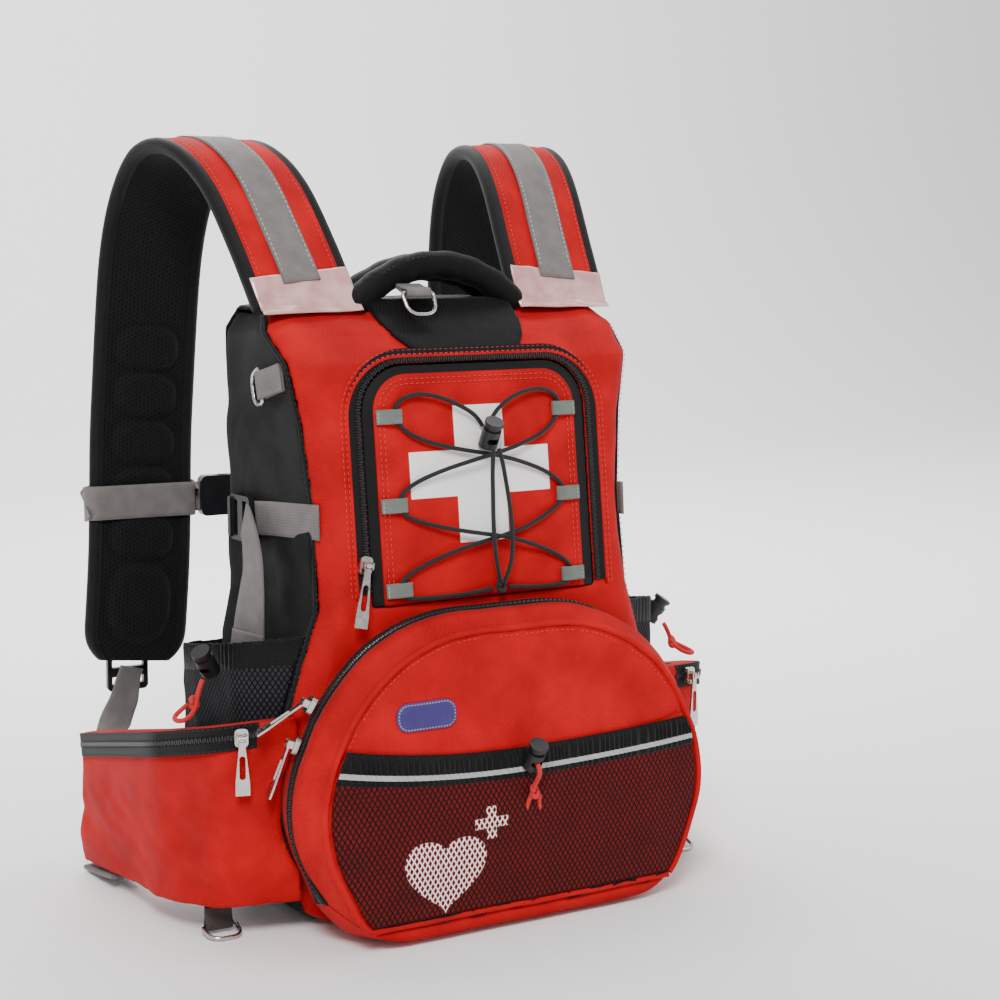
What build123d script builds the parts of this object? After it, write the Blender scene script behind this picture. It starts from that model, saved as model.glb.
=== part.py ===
"""Trauma backpack: a two-bay rescue pack with shoulder harness and hip wings.

Millimetres. +Z is up, -Y is the front, +X is the wearer's left.
The origin lies under the pack, on the floor that its base stands on.
"""
from build123d import *
import os
from math import cos, pi, radians, sin, tan

# ---------------------------------------------------------------- driving dimensions
WALL = 3.0                    # face fabric, thin foam and lining together
PAD = 12.0                    # padded back panel
GAP = 0.5                     # clear space round a piece that moves
BACK = 33.0                   # outer face of the back panel, in Y
TOP = 440.0                   # flat top of the body
SHELF = 229.0                 # fabric floor between the two bays

WEB = 25.0                    # harness webbing, width
WIDE_WEB = 30.0               # webbing over the shoulders and the hanging tails, width
WEB_T = 1.8                   # harness webbing, thickness
TAB = 20.0                    # narrow webbing of the ring tabs
STRAP = 86.0                  # shoulder strap, width
STRAP_T = 14.0                # shoulder strap, thickness

FLAP_LOW, FLAP_HIGH = 232.0, 402.0     # flap's hinge line and its top edge
LEAN = 0.12                   # how far the upper front leans back for each mm of height
FLAP_HALF = 92.0
FLAP_T = 4.0

HINGE_Y, HINGE_Z = -178.5, 16.0        # pod lid's hinge line
CORD = 3.2                    # elastic cord of the flap lacing
PULL_CORD = 3.5               # red cord of the drawcord pulls

# height, half width at the front, front depth, half width at the back
BODY = (
    (0.0, 122.0, 112.0, 126.0),
    (12.0, 140.0, 117.0, 140.0),
    (60.0, 158.0, 119.0, 148.0),
    (100.0, 162.0, 121.0, 150.0),
    (150.0, 154.0, 122.0, 149.0),
    (195.0, 140.0, 123.0, 147.0),
    (229.0, 128.0, 124.0, 144.0),
    (300.0, 126.0, 124.0 - LEAN * 71, 140.0),
    (360.0, 132.0, 124.0 - LEAN * 131, 141.0),
    (402.0, 141.0, 124.0 - LEAN * 173, 142.0),
    (424.0, 146.0, 76.0, 141.0),
    (TOP, 132.0, 46.0, 130.0),
)
BODY_CORNER = 20.0

# front plane of the upper body: local x across, local y up the panel from the hinge line
FRONT = Plane(origin=(0, LEAN * 3 - 124.0, FLAP_LOW), x_dir=(1, 0, 0), z_dir=(0, -1, LEAN))
# face plane of the pod: local x across, local y up from the lid's hinge line
FACE = Plane(origin=(0, HINGE_Y, HINGE_Z), x_dir=(1, 0, 0), z_dir=(0, -0.99720, 0.0748))

SIDES = (("left", -1), ("right", 1))   # as seen from the front

os.makedirs("parts", exist_ok=True)


def save(builder, name):
    """Label a finished piece and write it."""
    builder.part.label = name
    export_step(builder.part, f"parts/{name}.step")


# ---------------------------------------------------------------- shared shapes
def body_solid(inset, back=BACK):
    """The body as one lofted solid, drawn in by inset all round."""
    with BuildPart() as body:
        for height, half_front, front, half_back in BODY:
            level = TOP - inset if height == TOP else max(height, inset)
            with BuildSketch(Plane.XY.offset(level)) as section:
                with BuildLine():
                    Polyline(
                        (-half_back + inset, back),
                        (-half_front + inset, -front + inset),
                        (half_front - inset, -front + inset),
                        (half_back - inset, back),
                        close=True,
                    )
                make_face()
                fillet(section.vertices(), BODY_CORNER - inset)
        loft(ruled=True)
    return body.part


def side_prism(points, half=260.0):
    """A prism across the whole pack, from an outline in (depth, height)."""
    with BuildPart() as prism:
        with BuildSketch(Plane.YZ):
            Polygon(*points, align=None)
        extrude(amount=half, both=True)
    return prism.part


def pod_outline(half, low, high):
    """Front view of the pod: flat foot, round cheeks, broad arch."""
    tall = high - low
    FilletPolyline(
        (0.80 * half, low),
        (1.06 * half, low + 0.42 * tall),
        (0.72 * half, high),
        (-0.72 * half, high),
        (-1.06 * half, low + 0.42 * tall),
        (-0.80 * half, low),
        radius=(0.3 * half, 0.6 * half, 0.8 * half, 0.8 * half, 0.6 * half, 0.3 * half),
        close=True,
    )


def pod_solid(grow, face=0.0):
    """The pod as one lofted solid, from the body's front to its face."""
    stations = (
        (Plane.XZ.offset(106), 158, 0, 227),
        (Plane.XZ.offset(150), 167, 0, 226),
        (FACE.offset(face), 155, -11, 200),
    )
    with BuildPart() as pod:
        for plane, half, low, high in stations:
            with BuildSketch(plane):
                with BuildLine():
                    pod_outline(half + grow, low + max(0.0, -grow), high + grow)
                make_face()
        loft(ruled=True)
    return pod.part


def band(route, width, thickness, across=(1, 0, 0), corner=0.0):
    """A flat strap: rectangles stood across a route and joined by a ruled loft.

    across is the way its width runs: one direction, or one for each point of the route.
    """
    route = [Vector(*point) for point in route]
    widths = across if isinstance(across, list) else [across] * len(route)
    with BuildPart() as strap:
        for i, point in enumerate(route):
            ahead = route[min(i + 1, len(route) - 1)] - route[max(i - 1, 0)]
            with BuildSketch(Plane(origin=point, x_dir=widths[i], z_dir=ahead)):
                if corner:
                    RectangleRounded(width, thickness, corner)
                else:
                    Rectangle(width, thickness)
        loft(ruled=True)
    return strap.part


def cord_radii(route):
    """Corner radii that round each turn of a cord as widely as its runs allow."""
    route = [Vector(*point) for point in route]
    radii = []
    for before, corner, after in zip(route, route[1:], route[2:]):
        run_in, run_out = corner - before, after - corner
        turn = radians(run_in.get_angle(run_out))
        radii.append(0.45 * min(run_in.length, run_out.length) / tan(turn / 2))
    return radii


def cord(route, diameter, name):
    """A round cord along straight runs joined by tangent arcs."""
    radii = cord_radii(route)
    with BuildPart() as tube:
        with BuildLine() as path:
            FilletPolyline(*route, radius=radii)
        start = Vector(*route[0])
        with BuildSketch(Plane(origin=start, z_dir=Vector(*route[1]) - start)):
            Circle(diameter / 2)
        sweep(path=path.wire())
    expected = path.wire().length * pi * diameter**2 / 4
    print(name, "radii", [round(r, 1) for r in radii], "length", round(path.wire().length, 1),
          "volume ratio", round(tube.part.volume / expected, 4))
    return tube.part


def both_sides(solid):
    """A solid and its mirror image."""
    with BuildPart() as pair:
        add(solid)
        mirror(about=Plane.YZ)
    return pair.part


# ---------------------------------------------------------------- body panels
OUTER = body_solid(0)
INNER = body_solid(WALL, BACK - PAD)
POD = pod_solid(0)
POD_INNER = pod_solid(-WALL, -WALL)

SEAM = 16.0                   # front fabric wraps this far round the body's front corners
FRONT_ZONE = side_prism(
    [(-400, -1)]
    + [(SEAM - front, height) for height, _, front, _ in BODY]
    + [(SEAM - BODY[-1][2], TOP + 1), (-400, TOP + 1)]
)
BACK_ZONE = side_prism([(BACK - PAD, -1), (BACK + 1, -1), (BACK + 1, TOP + 1), (BACK - PAD, TOP + 1)])
BASE_ZONE = side_prism([(-400, -1), (400, -1), (400, WALL), (-400, WALL)])
ROOF_ZONE = side_prism([(-400, TOP - WALL), (400, TOP - WALL), (400, TOP + 1), (-400, TOP + 1)])

POD_MOUTH = (146, 8, 220)     # opening behind the pod: half width, foot and top
FLAP_ROUND = 34.0             # radius of the flap's top corners
with BuildPart() as front_panel:
    add(OUTER)
    add(INNER, mode=Mode.SUBTRACT)
    add(FRONT_ZONE, mode=Mode.INTERSECT)
    add(BASE_ZONE, mode=Mode.SUBTRACT)
    with BuildSketch(FRONT):
        with BuildLine():
            FilletPolyline(
                (-FLAP_HALF - GAP, -GAP),
                (-FLAP_HALF - GAP, FLAP_HIGH - FLAP_LOW),
                (FLAP_HALF + GAP, FLAP_HIGH - FLAP_LOW),
                (FLAP_HALF + GAP, -GAP),
                radius=FLAP_ROUND,
            )
            Line((-FLAP_HALF - GAP, -GAP), (FLAP_HALF + GAP, -GAP))
        make_face()
    extrude(amount=-14, mode=Mode.SUBTRACT)
    with BuildSketch(Plane.XZ.offset(140)):
        with BuildLine():
            pod_outline(*POD_MOUTH)
        make_face()
    extrude(amount=-50, mode=Mode.SUBTRACT)
save(front_panel, "front_panel")

with BuildPart() as base_panel:
    add(OUTER)
    add(BASE_ZONE, mode=Mode.INTERSECT)
    add(BACK_ZONE, mode=Mode.SUBTRACT)
save(base_panel, "base_panel")

with BuildPart() as back_panel:
    add(OUTER)
    add(BACK_ZONE, mode=Mode.INTERSECT)
save(back_panel, "back_panel")

for side, sign in SIDES:
    with BuildPart() as side_panel:
        add(OUTER)
        add(INNER, mode=Mode.SUBTRACT)
        add(FRONT_ZONE, mode=Mode.SUBTRACT)
        add(BACK_ZONE, mode=Mode.SUBTRACT)
        add(BASE_ZONE, mode=Mode.SUBTRACT)
        add(ROOF_ZONE, mode=Mode.SUBTRACT)
        split(bisect_by=Plane.YZ, keep=Keep.TOP if sign > 0 else Keep.BOTTOM)
    save(side_panel, f"side_panel_{side}")

with BuildPart() as bay_shelf:
    with Locations((0, 0, SHELF)):
        Box(400, 400, 2.4)
    add(INNER, mode=Mode.INTERSECT)
save(bay_shelf, "bay_shelf")

NECK_HALF = 60.0
with BuildPart() as neck_panel:
    add(body_solid(-5, BACK - PAD))
    with BuildSketch(Plane.XY.offset(TOP - 45)):
        with Locations((0, (BACK - PAD - 104) / 2)):
            RectangleRounded(2 * NECK_HALF, BACK - PAD + 104, 40)
    extrude(amount=60, mode=Mode.INTERSECT)
    add(body_solid(0, BACK - PAD), mode=Mode.SUBTRACT)
    with BuildSketch(Plane.YZ):
        Polygon((-200, FLAP_HIGH + 5), (200, FLAP_HIGH + 5), (200, TOP + 60), (-200, TOP + 60), align=None)
    extrude(amount=100, both=True, mode=Mode.INTERSECT)
with BuildPart() as roof:
    add(OUTER)
    add(ROOF_ZONE, mode=Mode.INTERSECT)
    add(FRONT_ZONE, mode=Mode.SUBTRACT)
    add(BACK_ZONE, mode=Mode.SUBTRACT)
    add(neck_panel.part)
save(roof, "neck_panel")

# ---------------------------------------------------------------- pod: fixed gusset and hinged lid
RIM = ((HINGE_Y, HINGE_Z), (-156, 34), (-141, 84), (-138, 130), (-138, 240))
with BuildPart() as pod_gusset:
    add(POD)
    add(POD_INNER, mode=Mode.SUBTRACT)
    add(side_prism([(-300, -9), (-300, HINGE_Z), *RIM, (-90, 240), (-90, -9)]), mode=Mode.INTERSECT)
    add(OUTER, mode=Mode.SUBTRACT)
save(pod_gusset, "pod_gusset")

CUT = 0.6                     # the open zip's gap between lid and gusset
LID_ZONE = side_prism([(-300, HINGE_Z + GAP)] + [(y - CUT, z + GAP) for y, z in RIM] + [(-300, 240)])
with BuildPart() as aed_lid:
    add(POD)
    add(POD_INNER, mode=Mode.SUBTRACT)
    add(LID_ZONE, mode=Mode.INTERSECT)
save(aed_lid, "aed_lid")

ZIP_W = 8.0                   # coil and the tape that shows beside it
ZIP_T = 1.2
with BuildPart() as pod_zip:
    add(pod_solid(ZIP_T))
    add(POD, mode=Mode.SUBTRACT)
    add(side_prism(
        [(y, z) for y, z in RIM[1:]] + [(y + ZIP_W, z) for y, z in reversed(RIM[1:])]
    ), mode=Mode.INTERSECT)
    add(OUTER, mode=Mode.SUBTRACT)
save(pod_zip, "pod_zip")

# ---------------------------------------------------------------- first-aid flap
FLAP_TALL = FLAP_HIGH - FLAP_LOW - 1
with BuildPart() as first_aid_flap:
    with BuildSketch(FRONT):
        with BuildLine():
            FilletPolyline(
                (-FLAP_HALF, 0), (-FLAP_HALF, FLAP_TALL), (FLAP_HALF, FLAP_TALL), (FLAP_HALF, 0),
                radius=FLAP_ROUND,
            )
            Line((-FLAP_HALF, 0), (FLAP_HALF, 0))
        make_face()
    extrude(amount=-FLAP_T)
save(first_aid_flap, "first_aid_flap")

with BuildPart() as flap_zip:
    with BuildSketch(FRONT.offset(0.1)):
        with BuildLine():
            FilletPolyline(
                (-FLAP_HALF - ZIP_W, 2), (-FLAP_HALF - ZIP_W, FLAP_TALL + ZIP_W),
                (FLAP_HALF + ZIP_W, FLAP_TALL + ZIP_W), (FLAP_HALF + ZIP_W, 2),
                radius=FLAP_ROUND + ZIP_W,
            )
            FilletPolyline(
                (-FLAP_HALF - GAP, 2), (-FLAP_HALF - GAP, FLAP_TALL + GAP),
                (FLAP_HALF + GAP, FLAP_TALL + GAP), (FLAP_HALF + GAP, 2),
                radius=FLAP_ROUND + GAP,
            )
            Line((-FLAP_HALF - ZIP_W, 2), (-FLAP_HALF - GAP, 2))
            Line((FLAP_HALF + ZIP_W, 2), (FLAP_HALF + GAP, 2))
        make_face()
    extrude(amount=ZIP_T)
save(flap_zip, "flap_zip")

# lacing loops: across and up the flap
LOOPS = [(sign * x, y) for x, y in ((73.0, 133.0), (73.0, 70.0), (73.0, 10.0)) for sign in (-1, 1)]
LOOP_W, LOOP_LONG, LOOP_T = 10.0, 21.0, 5.8
with BuildPart() as flap_loops:
    for place in LOOPS:
        with BuildSketch(FRONT.offset(0.1)):
            with Locations(place):
                Rectangle(LOOP_LONG, LOOP_W)
        extrude(amount=LOOP_T)
        with BuildSketch(FRONT.offset(0.1 + 0.9)):
            with Locations(place):
                Rectangle(LOOP_LONG - 2.4, LOOP_W + 2)
        extrude(amount=LOOP_T - 1.8, mode=Mode.SUBTRACT)
save(flap_loops, "flap_loops")


def on_front(points):
    """Points given on the flap (across, up, off) as places in the pack's frame."""
    return [tuple(FRONT.from_local_coords(Vector(*point))) for point in points]


# the lacing, as (across, up, off) on the flap: each side runs from the knot to the cord lock,
# and two tails run back down from the lock to the knot
LACE_ONE = (
    (15, 5, 5.5), (34, 3, 4.5), (54, 2.5, 3.2), (68, 3.5, 2.9), (73, 10, 2.9), (69, 19, 3.2),
    (54, 28, 5), (33, 36, 8), (13, 42, 10.5), (-9, 46, 10), (-33, 51, 7.5), (-56, 58, 4),
    (-67, 64, 2.9), (-69.5, 71, 2.9), (-66.5, 78.5, 3), (-55, 86, 4.5), (-35, 93, 8),
    (-12, 98.5, 10.3), (10, 103, 10.5), (31, 108, 8), (52, 115, 5), (65, 125, 3), (69.5, 134, 2.9),
    (67, 143, 3.6), (54, 148.5, 5.5), (36, 147, 7.5), (20, 140, 8), (10, 131, 6.5), (6.4, 123, 4.9),
)
LACE_TWO = (
    (2, 5, 5.5), (-16, 3, 4.5), (-36, 2.4, 3.2), (-55, 2.8, 3), (-68.5, 3.7, 2.9), (-73, 10, 2.9),
    (-69, 19, 3.2), (-52, 27, 5), (-30, 34, 6), (-8, 39, 6.6), (14, 43, 6.6), (35, 48, 6),
    (55, 57, 4.2), (66.5, 64, 2.9), (69.5, 71, 2.9), (66.5, 78.5, 3), (54, 87, 4.5), (34, 95, 6),
    (11, 101.5, 6.8), (-11, 105.5, 6.6), (-32, 110, 6), (-53, 117, 4.5), (-65, 126, 3),
    (-69.5, 134.5, 2.9), (-66.5, 143.5, 3.6), (-53, 149, 5.5), (-34, 146, 7), (-16, 138, 7.5),
    (-3, 130, 6.5), (1.6, 123, 4.9),
)
TAIL_ONE = (
    (1.6, 106, 18), (0.8, 99, 18.6), (0.5, 88, 17), (1, 72, 15), (0.2, 52, 14.4), (0.8, 32, 14),
    (3.4, 18, 12), (7, 9, 9),
)
TAIL_TWO = (
    (6.4, 106, 18), (8, 99, 18.6), (10.6, 88, 17), (14, 71, 15), (16, 51, 14.4), (15.6, 32, 13.8),
    (13.2, 18, 12), (9.6, 9, 9),
)
KNOT = (8.4, 5.6, 6.2)
LOCK = Vector(4, 114.5, 11.5)          # middle of the cord lock's barrel
LOCK_AXIS = Vector(0, 0.8, 0.6)        # from the barrel's foot to its button
LOCK_BORE = Vector(0, -0.6, 0.8)       # the way the cords run through it
LOCK_R, LOCK_LONG, LOCK_TRAVEL = 7.0, 15.0, 3.0
BUTTON_R = 5.6
BUTTON_BELOW = 1.5            # how far the button reaches below the barrel's middle
SLOT_WIDE, SLOT_TALL = 9.4, 4.6         # cord slot through the barrel and the button

with BuildPart() as flap_bungee:
    for number, route in enumerate((LACE_ONE, LACE_TWO, TAIL_ONE, TAIL_TWO), start=1):
        add(cord(on_front(route), CORD, f"lacing {number}"))
    with Locations(FRONT.from_local_coords(Vector(*KNOT))):
        Sphere(4.6)
save(flap_bungee, "flap_bungee")


def cord_lock(middle, axis, bore):
    """Barrel and button of a sprung cord lock: a hollow barrel with a cord slot across it."""
    across = axis.cross(bore)
    foot = middle - axis * (LOCK_LONG / 2)
    with BuildPart() as barrel:
        with BuildSketch(Plane(origin=foot, x_dir=across, z_dir=axis)):
            Circle(LOCK_R)
        extrude(amount=LOCK_LONG)
        with BuildSketch(Plane(origin=foot + axis * 2.5, x_dir=across, z_dir=axis)):
            Circle(BUTTON_R + 0.3)
        extrude(amount=LOCK_LONG, mode=Mode.SUBTRACT)
        with BuildSketch(Plane(origin=middle, x_dir=across, z_dir=bore)):
            RectangleRounded(SLOT_WIDE, SLOT_TALL, 2.2)
        extrude(amount=12, both=True, mode=Mode.SUBTRACT)
    with BuildPart() as button:
        with BuildSketch(Plane(origin=middle - axis * BUTTON_BELOW, x_dir=across, z_dir=axis)):
            Circle(BUTTON_R)
        extrude(amount=BUTTON_BELOW + LOCK_LONG / 2 + LOCK_TRAVEL + 1.6)
        with BuildSketch(Plane(origin=middle + axis * (LOCK_LONG / 2 + LOCK_TRAVEL + 0.4),
                               x_dir=across, z_dir=axis)):
            Circle(LOCK_R)
        extrude(amount=3.0)
        with BuildSketch(Plane(origin=middle, x_dir=across, z_dir=bore)):
            with Locations((0, LOCK_TRAVEL / 2)):
                RectangleRounded(SLOT_WIDE, SLOT_TALL + LOCK_TRAVEL, 2.2)
        extrude(amount=12, both=True, mode=Mode.SUBTRACT)
    return barrel.part, button.part


def turned(plane, vector):
    """A direction given in a plane's own axes, in the pack's frame."""
    return plane.from_local_coords(vector) - plane.origin


barrel, button = cord_lock(
    FRONT.from_local_coords(LOCK), turned(FRONT, LOCK_AXIS), turned(FRONT, LOCK_BORE)
)
with BuildPart() as flap_lock:
    add(barrel)
save(flap_lock, "flap_lock")
with BuildPart() as flap_button:
    add(button)
save(flap_button, "flap_button")

# ---------------------------------------------------------------- hip wings and their zip pockets
WING_T = 20.0                 # padded wing, thickness
WING_BACK = 104.0             # how far the wings reach behind the origin


def wing_slab(grow, top, bottom):
    """One wing: a bent slab between a sloping top and a sloping foot."""
    with BuildPart() as slab:
        with BuildSketch():
            with BuildLine():
                FilletPolyline(
                    (-150, -122 - grow), (-206 - grow * 0.7, -104 - grow * 0.7), (-229 - grow, -48),
                    (-232 - grow, WING_BACK), (-232 + WING_T, WING_BACK), (-229 + WING_T, -42),
                    (-196, -84), (-150, -96),
                    radius=(0.1, 20, 60, 4, 4, 40, 20, 0.1), close=True,
                )
            make_face()
        extrude(amount=200)
        add(side_prism([(-200, bottom[0]), (200, bottom[1]), (200, top[1]), (-200, top[0])]),
            mode=Mode.INTERSECT)
        add(OUTER, mode=Mode.SUBTRACT)
        add(POD, mode=Mode.SUBTRACT)
        with BuildSketch():
            with Locations((100, 0)):
                Rectangle(400, 800)
        extrude(amount=400, mode=Mode.SUBTRACT)
    return slab.part


# heights of the sloping edges at Y = -200 and Y = +200
WING_TOP = (178.0, 88.0)
WING_FOOT = (32.0, 0.5)
wing = wing_slab(0, WING_TOP, WING_FOOT)
ZIP_LINE = 9.0                # zip's centre below the wing's top edge
zip_strip = wing_slab(
    ZIP_T,
    (WING_TOP[0] - ZIP_LINE + ZIP_W / 2, WING_TOP[1] - ZIP_LINE + ZIP_W / 2),
    (WING_TOP[0] - ZIP_LINE - ZIP_W / 2, WING_TOP[1] - ZIP_LINE - ZIP_W / 2),
)
for side, sign in SIDES:
    with BuildPart() as hip_wing:
        add(wing)
        if sign > 0:
            mirror(about=Plane.YZ, mode=Mode.REPLACE)
    save(hip_wing, f"hip_wing_{side}")
with BuildPart() as hip_zips:
    add(zip_strip)
    add(wing, mode=Mode.SUBTRACT)
    split(bisect_by=Plane.YZ.offset(-176), keep=Keep.BOTTOM)
    split(bisect_by=Plane.XZ.offset(-(WING_BACK - 6)), keep=Keep.TOP)
    mirror(about=Plane.YZ)
save(hip_zips, "hip_zips")

# ---------------------------------------------------------------- mesh bottle pockets
POCKET_LOW = 70.0
for side, sign in SIDES:
    with BuildPart() as bottle_pocket:
        with BuildSketch():
            with BuildLine():
                FilletPolyline(
                    (sign * 130, -108), (sign * 178, -82), (sign * 186, -20), (sign * 180, 28), (sign * 130, 31),
                    radius=(0.1, 24, 40, 24, 0.1), close=True,
                )
            make_face()
        extrude(amount=260)
        with BuildSketch(Plane.XY.offset(POCKET_LOW + 2)):
            with BuildLine():
                FilletPolyline(
                    (sign * 129, -104), (sign * 176, -80), (sign * 184, -20), (sign * 178, 26), (sign * 129, 29),
                    radius=(0.1, 22, 38, 22, 0.1), close=True,
                )
            make_face()
        extrude(amount=260, mode=Mode.SUBTRACT)
        add(side_prism([(-200, POCKET_LOW), (200, POCKET_LOW), (200, 158), (-200, 230)]), mode=Mode.INTERSECT)
        add(OUTER, mode=Mode.SUBTRACT)
        add(both_sides(wing), mode=Mode.SUBTRACT)
    save(bottle_pocket, f"bottle_pocket_{side}")

# ---------------------------------------------------------------- shoulder straps
# centre line of the left strap, from its root on the yoke, over the shoulder, to its lower tip
STRAP_ROUTE = (
    (-106, -52, 436), (-112, -22, 482), (-119, 10, 525), (-126, 42, 552), (-132, 76, 564 - STRAP_T / 2),
    (-138, 108, 552), (-142, 134, 522), (-146, 150, 480), (-150, 158, 420), (-154, 160, 350),
    (-159, 156, 280), (-165, 150, 215), (-172, 146, 152),
)
strap_solid = band(STRAP_ROUTE, STRAP, STRAP_T, corner=5.0)
for side, sign in SIDES:
    with BuildPart() as shoulder_strap:
        add(strap_solid)
        if sign > 0:
            mirror(about=Plane.YZ, mode=Mode.REPLACE)
        add(OUTER, mode=Mode.SUBTRACT)
    save(shoulder_strap, f"shoulder_strap_{side}")

# reflective patch over each strap root, and the webbing that runs down the strap
with BuildPart() as shoulder_patches:
    add(band([(-104, -66 - 8.6, 424 + 5), (-106, -52 - 7.2, 436 + 5.4), (-109.6, -34 - 7.4, 463 + 5)], 76, 1.6))
    add(OUTER, mode=Mode.SUBTRACT)
    add(strap_solid, mode=Mode.SUBTRACT)
    mirror(about=Plane.YZ)
save(shoulder_patches, "shoulder_patches")

SHOULDER_WEB = (
    (-109, -52, 461), (-112.5, -36, 482), (-117, -12, 514), (-121, 14, 542), (-126, 40, 561.5),
    (-132, 76, 564 + 1.2), (-137, 102, 565 - 4.5), (-139, 120, 551),
)
LOWER_WEB = ((-172, 149, 146), (-180, 146, 122), (-192, 136, 106), (-204, 118, 98), (-210.4, 98, 95))
with BuildPart() as strap_webbing:
    add(band(SHOULDER_WEB, WIDE_WEB, WEB_T))
    add(strap_solid, mode=Mode.SUBTRACT)
    add(OUTER, mode=Mode.SUBTRACT)
    add(shoulder_patches.part, mode=Mode.SUBTRACT)
    add(band(LOWER_WEB, WEB, WEB_T, across=(0.9, 0.3, 0.3)))
    add(wing, mode=Mode.SUBTRACT)
    mirror(about=Plane.YZ)
save(strap_webbing, "strap_webbing")

# ---------------------------------------------------------------- carry handle and top ring
HANDLE_R = 9.5
with BuildPart() as carry_handle:
    for depth, crest in ((-47.0, 479.0), (-27.0, 477.0)):
        with BuildLine() as arch:
            ThreePointArc((-66, depth, TOP + 2), (0, depth, crest - HANDLE_R), (66, depth, TOP + 2))
        with BuildSketch(arch.line ^ 0):
            Circle(HANDLE_R)
        sweep(path=arch.line)
    add(OUTER, mode=Mode.SUBTRACT)
    add(roof.part, mode=Mode.SUBTRACT)
    add(both_sides(strap_solid), mode=Mode.SUBTRACT)
    add(shoulder_patches.part, mode=Mode.SUBTRACT)
save(carry_handle, "carry_handle")


# ---------------------------------------------------------------- zip sliders and their pulls
PIN_R, PIN_UP = 1.25, 6.6     # slider's cross pin: radius, and height above the zip
PULL_W, PULL_T = 10.0, 1.4


def zip_slider(plane):
    """A slider seen from its face: local y up, local z off the fabric."""
    with BuildPart() as slider:
        with BuildSketch(plane):
            RectangleRounded(9.4, 13, 3)
        extrude(amount=3.8)
        for x in (-3.2, 3.2):
            with BuildSketch(plane.offset(3.6)):
                with Locations((x, 0)):
                    Rectangle(1.2, 5)
            extrude(amount=PIN_UP + 1.9 - 3.6)
        with BuildSketch(Plane(plane.from_local_coords(Vector(-3.2, 0, PIN_UP)), plane.y_dir, plane.x_dir)):
            Circle(PIN_R)
        extrude(amount=6.4)
    return slider.part


def zip_pull(plane, length):
    """A pull that hangs from a slider's cross pin."""
    with BuildPart() as pull:
        with BuildSketch(plane.offset(PIN_UP - PULL_T / 2)):
            Polygon((-2.1, -1.2), (2.1, -1.2), (2.6, -9), (PULL_W / 2, -length + 9), (PULL_W / 2, -length),
                    (-PULL_W / 2, -length), (-PULL_W / 2, -length + 9), (-2.6, -9), align=None)
            with Locations((0, 4.5 - 0.62 * length)):
                SlotOverall(0.42 * length, 4.4, rotation=90, mode=Mode.SUBTRACT)
        extrude(amount=PULL_T)
        with BuildSketch(Plane(plane.from_local_coords(Vector(-2.1, 0, PIN_UP)), plane.y_dir, plane.x_dir)):
            Circle(2.4)
        extrude(amount=4.2)
        with BuildSketch(Plane(plane.from_local_coords(Vector(-2.2, 0, PIN_UP)), plane.y_dir, plane.x_dir)):
            Circle(PIN_R + 0.07)
        extrude(amount=4.4, mode=Mode.SUBTRACT)
    return pull.part


LIFT = 2.0                    # slider's sole above the fabric, so that it clears the coil
# for each slider: its place on the fabric, the way off the fabric, the pull's length,
# how far it is turned on the fabric, and how far its pull stands off (degrees)
ZIP_FITTINGS = {
    "flap": (FRONT.from_local_coords(Vector(-98.8, 30, 0)), FRONT.z_dir, 44.0, -12.0, 0.0),
    "lid_upper": (Vector(-143.0, -132.5, 168.0), Vector(-0.85, 0.16, 0.50), 40.0, 0.0, 30.0),
    "lid_lower": (Vector(-154.8, -132.5, 141.5), Vector(-0.91, 0.17, 0.38), 40.0, 0.0, 0.0),
    "hip_left": (Vector(-189.0, -109.5, 148.5), Vector(-0.306, -0.952, 0.0), 40.0, 0.0, 0.0),
    "hip_right": (Vector(189.0, -109.5, 148.5), Vector(0.306, -0.952, 0.0), 40.0, 0.0, 0.0),
}
for name, (place, off, length, turn, stand) in ZIP_FITTINGS.items():
    along = Vector(0, 0, 1).cross(off)
    flat = Plane(origin=place + off.normalized() * LIFT, x_dir=along, z_dir=off)
    turn, stand = radians(turn), radians(stand)
    seat = Plane(flat.origin, flat.x_dir * cos(turn) + flat.y_dir * sin(turn), flat.z_dir)
    hang = Plane(seat.from_local_coords(Vector(0, 0, PIN_UP)), seat.x_dir,
                 seat.z_dir * cos(stand) + seat.y_dir * sin(stand)).offset(-PIN_UP)
    with BuildPart() as slider:
        add(zip_slider(seat))
    save(slider, f"{name}_slider")
    with BuildPart() as pull:
        add(zip_pull(hang, length))
    save(pull, f"{name}_pull")
    print(name, "pin", [round(v, 3) for v in seat.from_local_coords(Vector(0, 0, PIN_UP))],
          "pin axis", [round(v, 4) for v in seat.x_dir], "up", [round(v, 4) for v in seat.y_dir])

# ---------------------------------------------------------------- webbing tabs and metal rings
RING_WIRE = 1.5
LOOP_HOLE = RING_WIRE + 0.35
LOOP_OUT = LOOP_HOLE + WEB_T


def webbing_tab(plane, long):
    """A folded webbing tab: a loop round the ring's bar, and its two layers laid flat."""
    with BuildPart() as tab:
        with BuildSketch(Plane(plane.origin, plane.y_dir, plane.x_dir)):
            Circle(LOOP_OUT)
        extrude(amount=TAB / 2, both=True)
        with BuildSketch(plane.offset(-WEB_T)):
            with Locations((0, long / 2)):
                Rectangle(TAB, long)
        extrude(amount=2 * WEB_T)
        with BuildSketch(Plane(plane.origin, plane.y_dir, plane.x_dir)):
            Circle(LOOP_HOLE)
        extrude(amount=TAB / 2 + 1, both=True, mode=Mode.SUBTRACT)
    return tab.part


def metal_ring(plane):
    """A wire D-ring: its bar lies on the plane's x axis, its bow hangs towards -y."""
    with BuildPart() as ring:
        with BuildLine(plane) as wire:
            FilletPolyline((-13, 0), (13, 0), (11, -18), (-11, -18), radius=(3, 3, 9, 9), close=True)
        with BuildSketch(Plane(origin=wire.line @ 0, z_dir=wire.line % 0)):
            Circle(RING_WIRE)
        sweep(path=wire.wire())
    return ring.part


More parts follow.
